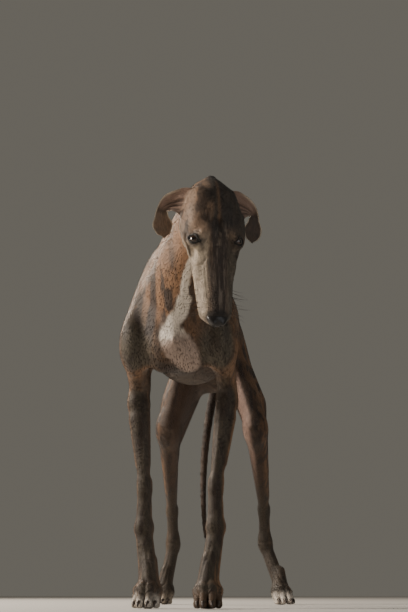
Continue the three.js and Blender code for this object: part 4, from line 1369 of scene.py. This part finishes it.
def scatter(points, normals, triangles, density):
    """Places spread evenly over a surface, `density` of them to a square millimetre, the normal
    at each, and a function that gives the values of the surface's points at those places."""
    a, b, c = (points[triangles[:, i]] for i in range(3))
    area = np.linalg.norm(np.cross(b - a, c - a), axis=1) / 2
    rate = density[triangles].mean(1) * area * HAIR_RATE
    edges = np.cumsum(rate)
    count = int(edges[-1])
    marks = (np.arange(count) + draw.random(count)) * edges[-1] / max(count, 1)
    hit = np.minimum(np.searchsorted(edges, marks), len(edges) - 1)
    u, v = draw.random(count), draw.random(count)
    fold = u + v > 1
    u, v = np.where(fold, 1 - u, u), np.where(fold, 1 - v, v)
    share = np.stack([1 - u - v, u, v], 1)[:, :, None]
    corners = triangles[hit]

    def at_roots(values):
        return (values.reshape(len(points), -1)[corners] * share).sum(1)

    ways = at_roots(normals)
    return at_roots(points), ways / np.linalg.norm(ways, axis=1)[:, None], at_roots


def unwrapped(roots, ways):
    """Each root's place on a box unwrap of the piece of skin: six faces in three by two cells."""
    low, high = roots.min(0), roots.max(0)
    q = (roots - low) / np.maximum(high - low, 1e-6)
    axis = np.abs(ways).argmax(1)
    front = ways[np.arange(len(ways)), axis] > 0
    u = np.choose(axis, [q[:, 1], q[:, 0], q[:, 0]])
    v = np.choose(axis, [q[:, 2], q[:, 2], q[:, 1]])
    cell = np.stack([axis / 3, front / 2], 1)
    return cell + np.stack([u / 3, v / 2], 1) * 0.97 + 0.002


def build_tufts(name, roots, ways, lies, lengths, widths, lifts, colours):
    count = len(roots)
    across = np.cross(ways, lies)
    sway = draw.normal(0, 0.16, count)[:, None]
    lies = lies * np.cos(sway) + across * np.sin(sway)
    across = np.cross(ways, lies)
    lengths = (lengths * draw.uniform(0.75, 1.25, count))[:, None]
    widths = (widths * draw.uniform(0.8, 1.2, count))[:, None]
    lifts = (lifts * draw.uniform(0.6, 1.3, count))[:, None]
    ring = [(math.cos(a), math.sin(a)) for a in (math.pi * 7 / 6, math.pi / 2, -math.pi / 6)]
    points = np.empty((count, 7, 3))
    for i, (c, s) in enumerate(ring):
        points[:, i] = roots - 0.5 * ways + across * widths * 0.42 * c + ways * widths * 0.3 * s
        middle = roots + lies * lengths * 0.5 + ways * lifts
        points[:, i + 3] = middle + across * widths * 0.5 * c + ways * widths * 0.22 * s
    points[:, 6] = roots + lies * lengths + ways * lifts * 0.4
    faces = (TUFT_FACES[None] + 7 * np.arange(count)[:, None, None]).reshape(-1, 3)
    piece = mesh_object(name, to_scene(points.reshape(-1, 3)), faces)
    mesh = piece.data
    tone = draw.uniform(0.68, 1.3, count)[:, None]
    dress(piece, np.repeat(colours * tone, 7, axis=0), np.repeat(lies, 7, axis=0))
    patch = unwrapped(roots, ways)[:, None] + TUFT_PATCH[None]
    corners = np.empty(len(mesh.loops), np.int32)
    mesh.loops.foreach_get("vertex_index", corners)
    layer = mesh.uv_layers.new(name="OFBake")
    layer.data.foreach_set("uv", patch.reshape(-1, 2)[corners].astype(np.float32).ravel())
    facing = np.repeat(ways + draw.normal(0, 0.07, (count, 3)), 7, axis=0)
    facing /= np.linalg.norm(facing, axis=1)[:, None]
    mesh.normals_split_custom_set_from_vertices(facing.tolist())
    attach(piece, "root")
    piece.data.materials.append(coat_look)
    return piece


def hair_sizes(p, n, part, head):
    """Length, width, lift and density of the tufts at each point."""
    length = 7.0 * part[0] + 7.5 * part[1] + 9.0 * part[2] + 5.5 * part[3:].sum(0)
    length = length * (1 + 0.35 * smoothstep(-0.2, -0.8, n[:, 2]) * (p[:, 2] > 380))
    length += 2.5 * part[5:].sum(0) * smoothstep(0.3, 0.8, n[:, 1]) * smoothstep(330, 400, p[:, 2])
    length += 3.0 * part[2] * smoothstep(0.2, 0.8, n[:, 1])
    length *= np.interp(p[:, 2], [0, 30, 120, 300], [0.42, 0.55, 0.75, 1])
    q = to_head(p)
    face = np.interp(q[:, 0], [0, 60, 130, L], [5.0, 4.0, 2.8, 2.0])
    length = length + (face - length) * head
    width = 0.28 + 0.026 * length
    lift = 0.12 + 0.016 * length
    return length, width, lift, COVER / (length * width)


def bare(p, n):
    """Where no hair grows: the eyes, the nose leather, the line of the mouth and the soles."""
    m = mirrored(to_head(p), 1)
    away, out = almond(m)
    eye = (out > 0) & (away < 1.6) & (np.linalg.norm(m - EYE_AT, axis=1) < 30)
    leather = np.linalg.norm((m - (L - 8, 0, -3)) / (16, 19, 14), axis=1) < 1
    lips = nearness(m, resampled(MOUTH), 1.5) > 0.45
    return eye | leather | lips | ((n[:, 2] < -0.6) & (p[:, 2] < 6))


def build_coat(skin_piece):
    mesh = skin_piece.data
    points, normals = points_of(mesh), normals_of(mesh)
    part, head = shares(points)
    length, width, lift, density = hair_sizes(points, normals, part, head)
    density = density * ~bare(points, normals)
    roots, ways, at_roots = scatter(points, normals, triangles_of(mesh), density)
    colours = at_roots(skin_colours)
    lies = combed(at_roots(skin_lies), ways)
    sizes = [at_roots(v)[:, 0] for v in (length, width, lift)]
    owner = at_roots(part.T).argmax(1)
    on_head = at_roots(head)[:, 0] > 0.5
    groups = {"head": on_head}
    for i, name in enumerate(PART_NAMES):
        chosen = (owner == i) & ~on_head
        if name == "torso":
            groups["torso_left"] = chosen & (roots[:, 0] > 0)
            groups["torso_right"] = chosen & (roots[:, 0] <= 0)
        else:
            groups[name] = chosen
    for name, chosen in groups.items():
        build_tufts(f"coat_{name}", roots[chosen], ways[chosen], lies[chosen],
                    *(v[chosen] for v in sizes), colours[chosen])


def build_ear_coat(name, piece, colour, run):
    mesh = piece.data
    points, normals = points_of(mesh), normals_of(mesh)
    height = dog_field(points)
    density = np.where(height > 0.5, EAR_DENSITY, 0.0)
    roots, ways, at_roots = scatter(points, normals, triangles_of(mesh), density)
    sizes = np.outer(EAR_HAIR, np.ones(len(roots)))
    build_tufts(name, roots, ways, combed(at_roots(run), ways), *sizes, at_roots(colour))


# Materials
def plain(name, colour, roughness):
    material = bpy.data.materials.new(name)
    material.use_nodes = True
    shader = material.node_tree.nodes["Principled BSDF"]
    shader.inputs["Base Color"].default_value = (*colour, 1)
    shader.inputs["Roughness"].default_value = roughness
    return material


def set_inputs(tree, target, inputs):
    """Gives each input, by its name or number, a value, or a link from a socket."""
    for name, value in inputs.items():
        if isinstance(value, bpy.types.NodeSocket):
            tree.links.new(value, target.inputs[name])
        else:
            target.inputs[name].default_value = value


def node(tree, kind, inputs, **settings):
    made = tree.nodes.new(kind)
    for name, value in settings.items():
        setattr(made, name, value)
    set_inputs(tree, made, inputs)
    return made


HAIR_ALONG = 90.0  # noise spots to a metre along the hair
HAIR_ACROSS = 1300.0  # and across it


def coat_material():
    """Painted markings and painted shade, with fine hair lines that follow the lie of the coat."""
    material = plain("coat", (0.3, 0.22, 0.16), 0.6)
    tree = material.node_tree
    place = node(tree, "ShaderNodeTexCoord", {}).outputs["Object"]
    lie = node(tree, "ShaderNodeAttribute", {}, attribute_name="lie").outputs["Vector"]
    weights = node(tree, "ShaderNodeSeparateXYZ", {0: lie}).outputs
    hairs = 0.0
    for axis in range(3):
        sizes = [HAIR_ACROSS] * 3
        sizes[axis] = HAIR_ALONG
        stretched = node(tree, "ShaderNodeVectorMath", {0: place, 1: sizes}, operation="MULTIPLY").outputs[0]
        noises = node(tree, "ShaderNodeTexNoise", {"Vector": stretched, "Scale": 1.0, "Detail": 1.0})
        terms = {0: noises.outputs["Fac"], 1: weights[axis], 2: hairs}
        hairs = node(tree, "ShaderNodeMath", terms, operation="MULTIPLY_ADD").outputs[0]
    spread = {"Value": hairs, "From Min": 0.3, "From Max": 0.7, "To Min": 0.6, "To Max": 1.3}
    shade = node(tree, "ShaderNodeMapRange", spread).outputs["Result"]
    paint = node(tree, "ShaderNodeAttribute", {}, attribute_name="paint").outputs["Color"]
    tint = node(tree, "ShaderNodeVectorMath", {0: paint, "Scale": shade}, operation="SCALE").outputs[0]
    bump = node(tree, "ShaderNodeBump", {"Height": hairs, "Strength": 0.7, "Distance": 0.0008})
    set_inputs(tree, tree.nodes["Principled BSDF"], {
        "Base Color": tint,
        "Normal": bump.outputs["Normal"],
        "Specular IOR Level": 0.32,
        "Sheen Weight": 0.08,
        "Sheen Roughness": 0.45,
    })
    return material


def eye_material():
    """Wet and clear, with its colour stored on the points."""
    material = plain("eye", (0.1, 0.1, 0.1), 0.06)
    tree = material.node_tree
    paint = node(tree, "ShaderNodeAttribute", {}, attribute_name="paint").outputs["Color"]
    wet = {"Base Color": paint, "Coat Weight": 0.6, "Coat Roughness": 0.03}
    set_inputs(tree, tree.nodes["Principled BSDF"], wet)
    return material


def leather_material():
    """Dark, with fine pebbles."""
    material = plain("leather", tuple(srgb(27, 24, 24)), 0.36)
    tree = material.node_tree
    place = node(tree, "ShaderNodeTexCoord", {}).outputs["Object"]
    pebbles = node(tree, "ShaderNodeTexVoronoi", {"Vector": place, "Scale": 620}).outputs["Distance"]
    bump = node(tree, "ShaderNodeBump", {"Height": pebbles, "Strength": 0.45, "Distance": 0.0004})
    set_inputs(tree, tree.nodes["Principled BSDF"], {"Normal": bump.outputs["Normal"]})
    return material


coat_look = coat_material()
skin = build_skin()
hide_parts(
    "torso", "neck", "tail", "head", "foreleg_left", "foreleg_right", "hindleg_left", "hindleg_right"
)
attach(skin, "root")
skin.data.materials.append(coat_look)
skin_colours = coat_colours(points_of(skin.data), normals_of(skin.data))
skin_lies = lie_of(points_of(skin.data), normals_of(skin.data))
dress(skin, skin_colours, skin_lies)
build_coat(skin)
for ear_name, ear_side in (("left", 1), ("right", -1)):
    ear, ear_colour, ear_run = build_ear(f"ear_{ear_name}_skin", ear_side)
    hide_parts(f"ear_{ear_name}")
    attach(ear, "root")
    ear.data.materials.append(coat_look)
    build_ear_coat(f"coat_ear_{ear_name}", ear, ear_colour, ear_run)


# Eyes: glossy balls with a dark iris and pupil
IRIS = 6.6  # its radius
PUPIL = 3.2
EYE_FINE = 5


def build_eye(name, side):
    work = bmesh.new()
    bmesh.ops.create_icosphere(work, subdivisions=EYE_FINE, radius=1.0)
    mesh = bpy.data.meshes.new(f"{name}_ball")
    work.to_mesh(mesh)
    work.free()
    flat = np.empty(len(mesh.vertices) * 3, np.float32)
    mesh.vertices.foreach_get("co", flat)
    way = flat.reshape(-1, 3).astype(float)
    flip = np.array([1, side, 1])
    gaze = GAZE * flip
    off_axis = np.arccos(np.clip(way @ gaze, -1, 1)) * EYE_RADIUS
    bulge = 0.5 * smoothstep(IRIS + 1, 0, off_axis)
    q = EYE_AT * flip + way * (EYE_RADIUS - 0.4 + bulge)[:, None]
    set_points(mesh, from_head(q))
    spokes = noise(way, (0.06, 0.06, 0.06), 81)
    iris = over(srgb(74, 44, 24), srgb(38, 22, 14), spokes)
    colour = over(srgb(38, 28, 24), iris, smoothstep(IRIS + 0.3, IRIS - 0.3, off_axis))
    colour = over(colour, srgb(6, 5, 5), smoothstep(PUPIL + 0.3, PUPIL - 0.3, off_axis))
    rgba = np.column_stack([colour, np.ones(len(colour))])
    set_attribute(mesh, "paint", "FLOAT_COLOR", "color", rgba)
    piece = linked(f"{name}_ball", mesh)
    piece.data.materials.append(eye_look)
    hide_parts(name)
    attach(piece, "root")


eye_look = eye_material()
for eye_side, eye_name in ((1, "eye_left"), (-1, "eye_right")):
    build_eye(eye_name, eye_side)


# Nose leather, in the head's frame
NOSE_STEP = 0.7


def nose_body(q):
    m = mirrored(q, 1)
    pad = ball((L - 9, 0, -3), (12.8, 16.8, 11.8))(q)
    wing = bar((L - 1, 7.5, 3), (L - 13, 15.5, -1), 3.4, 2.4)(m)
    whole = smooth_min(pad, wing, 4)
    slot = melt([
        (bar((L + 7, 6, -3), (L - 3, 6.5, -3), 2.9, 2.7), 1),
        (bar((L - 3, 6.5, -3), (L - 8, 11, -5), 2.6, 1.9), 2),
        (bar((L - 8, 11, -5), (L - 12, 18, -6), 1.7, 0.9), 1),
    ])(m)
    groove = bar((L + 5, 0, -5), (L - 4, 0, -16), 0.9, 0.9)(q)
    whole = smooth_max(whole, -slot, 1.8)
    return smooth_max(whole, -groove, 1.4)


def build_nose():
    points, quads = surface_net(nose_body, (L - 25, -21, -19), (L + 7, 21, 13), NOSE_STEP)
    points = settle(nose_body, points, 1, 0.5)
    piece = mesh_object("nose_pad", to_scene(from_head(points)), quads)
    piece.data.materials.append(leather_material())
    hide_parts("nose")
    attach(piece, "root")


build_nose()


# Claws and whiskers: tapered rods, joined into one piece each
def rod_mesh(lines, radii, sides):
    """Vertices and triangles of tapered rods along the given lines, closed at both ends."""
    vertices, faces = [], []
    base = 0
    for line, radius in zip(lines, radii):
        tangent = np.gradient(line, axis=0)
        tangent /= np.linalg.norm(tangent, axis=1)[:, None]
        helper = np.array((0.3, 0.2, 0.93)) if abs(tangent[0][2]) < 0.9 else np.array((1.0, 0.1, 0.1))
        first = np.cross(tangent, helper)
        first /= np.linalg.norm(first, axis=1)[:, None]
        second = np.cross(tangent, first)
        turn = 2 * math.pi * np.arange(sides) / sides
        ring = first[:, None] * np.cos(turn)[None, :, None] + second[:, None] * np.sin(turn)[None, :, None]
        ring = line[:, None] + ring * np.asarray(radius)[:, None, None]
        count = len(line)
        vertices += [ring.reshape(-1, 3), line[:1], line[-1:]]
        for i in range(count - 1):
            for j in range(sides):
                a, b = base + i * sides + j, base + i * sides + (j + 1) % sides
                faces += [(a, b, b + sides), (a, b + sides, a + sides)]
        start, end = base + count * sides, base + count * sides + 1
        last = start - sides
        for j in range(sides):
            follow = (j + 1) % sides
            faces += [(start, base + follow, base + j), (end, last + j, last + follow)]
        base += count * sides + 2
    return np.concatenate(vertices), np.array(faces)


CLAW_STEPS = [(0, 0, 0), (0, -7, -0.6), (0, -11.5, -5), (0, -12.8, -9)]  # from its root to its tip
CLAW_RADIUS = 3.3
WHISKER_RADIUS = 0.32


def claw_lines():
    lines, radii = [], []
    share = np.linspace(0, 1, 8)
    paws = [(leg, FORE_PAW) for leg in FORE.values()] + [(leg, HIND_PAW) for leg in HIND.values()]
    for leg, stretch in paws:
        spin, origin = paw_frame(leg)
        for toe in TOES:
            x, y = toe["tip"]
            start = np.array([x, y - toe["thick"] + 5, 12.0])
            curve = smooth_line([start + step for step in CLAW_STEPS], len(share))
            lines.append((curve * stretch) @ spin.T + origin)
            radii.append(CLAW_RADIUS * (1 - 0.82 * share ** 1.6))
    return lines, radii


def whisker_lines():
    lines, radii = [], []
    share = np.linspace(0, 1, 9)
    for side in (1, -1):
        for row in range(3):
            for place in range(5):
                x = 208 + 10.5 * place + draw.uniform(-2, 2)
                root = from_head([[x, 34 * side, -8 - 4.5 * row + draw.uniform(-1, 1)]])
                root = settle(dog_field, root, 10, 3)[0]
                way = np.array([0.35 + draw.uniform(-0.2, 0.2), side, -0.15 + draw.uniform(-0.2, 0.3)])
                droop = np.array([-0.25, 0, -0.12 - 0.1 * row])
                long = draw.uniform(20, 38)
                curve = np.outer(share, unit(way)) + np.outer(share ** 2, droop)
                lines.append(root + (curve * long) @ HEAD_TURN.T)
                radii.append(WHISKER_RADIUS * (1 - 0.85 * share))
    return lines, radii


def build_rods(name, lines, radii, sides, material):
    vertices, faces = rod_mesh(lines, radii, sides)
    piece = mesh_object(name, to_scene(vertices), faces)
    piece.data.materials.append(material)
    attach(piece, "root")


build_rods("claws", *claw_lines(), 10, plain("claw", tuple(srgb(58, 48, 42)), 0.4))
build_rods("whiskers", *whisker_lines(), 5, plain("whisker", tuple(srgb(60, 52, 48)), 0.5))


def build_floor():
    bpy.ops.mesh.primitive_plane_add(size=12, location=(0, 0, 0))
    floor = bpy.context.object
    floor.name = "floor"
    floor.data.materials.append(plain("floor", (0.62, 0.6, 0.57), 0.8))


def build_light():
    def area(name, place, aim, size, power, colour):
        data = bpy.data.lights.new(name, "AREA")
        data.size = size
        data.energy = power
        data.color = colour
        light = bpy.data.objects.new(name, data)
        light.location = place
        light.rotation_euler = (Vector(aim) - Vector(place)).to_track_quat("-Z", "Y").to_euler()
        bpy.context.scene.collection.objects.link(light)

    area("key", (-2.6, -0.5, 1.6), (0, -0.2, 0.5), 0.8, 122, (1.0, 0.89, 0.77))
    area("rim", (-1.7, 2.0, 1.9), (0, 0, 0.5), 0.9, 56, (1.0, 0.88, 0.74))
    area("fill", (2.0, -2.2, 1.3), (0, 0, 0.45), 2.2, 14, (0.94, 0.97, 1.0))
    world = bpy.data.worlds.new("studio")
    bpy.context.scene.world = world
    world.use_nodes = True
    world.node_tree.nodes["Background"].inputs["Color"].default_value = (0.14, 0.131, 0.112, 1)
    world.node_tree.nodes["Background"].inputs["Strength"].default_value = 1.0


# The photo's camera: a 70 mm lens near the floor, in front of the dog and a little to its left
CAMERA_AT = (276, -2536, 30)
CAMERA_TURN = math.radians(6)
CAMERA_TILT = math.radians(13.5)
CAMERA_LENS = 70  # millimetres, like the sensor's longer side
CAMERA_SENSOR = 36


def build_camera():
    data = bpy.data.cameras.new("camera")
    data.lens = CAMERA_LENS
    data.sensor_width = CAMERA_SENSOR
    camera = bpy.data.objects.new("camera", data)
    camera.location = to_scene(CAMERA_AT)
    camera.rotation_euler = (math.pi / 2 + CAMERA_TILT, 0, CAMERA_TURN)
    bpy.context.scene.collection.objects.link(camera)
    bpy.context.scene.camera = camera


build_floor()
build_light()
build_camera()
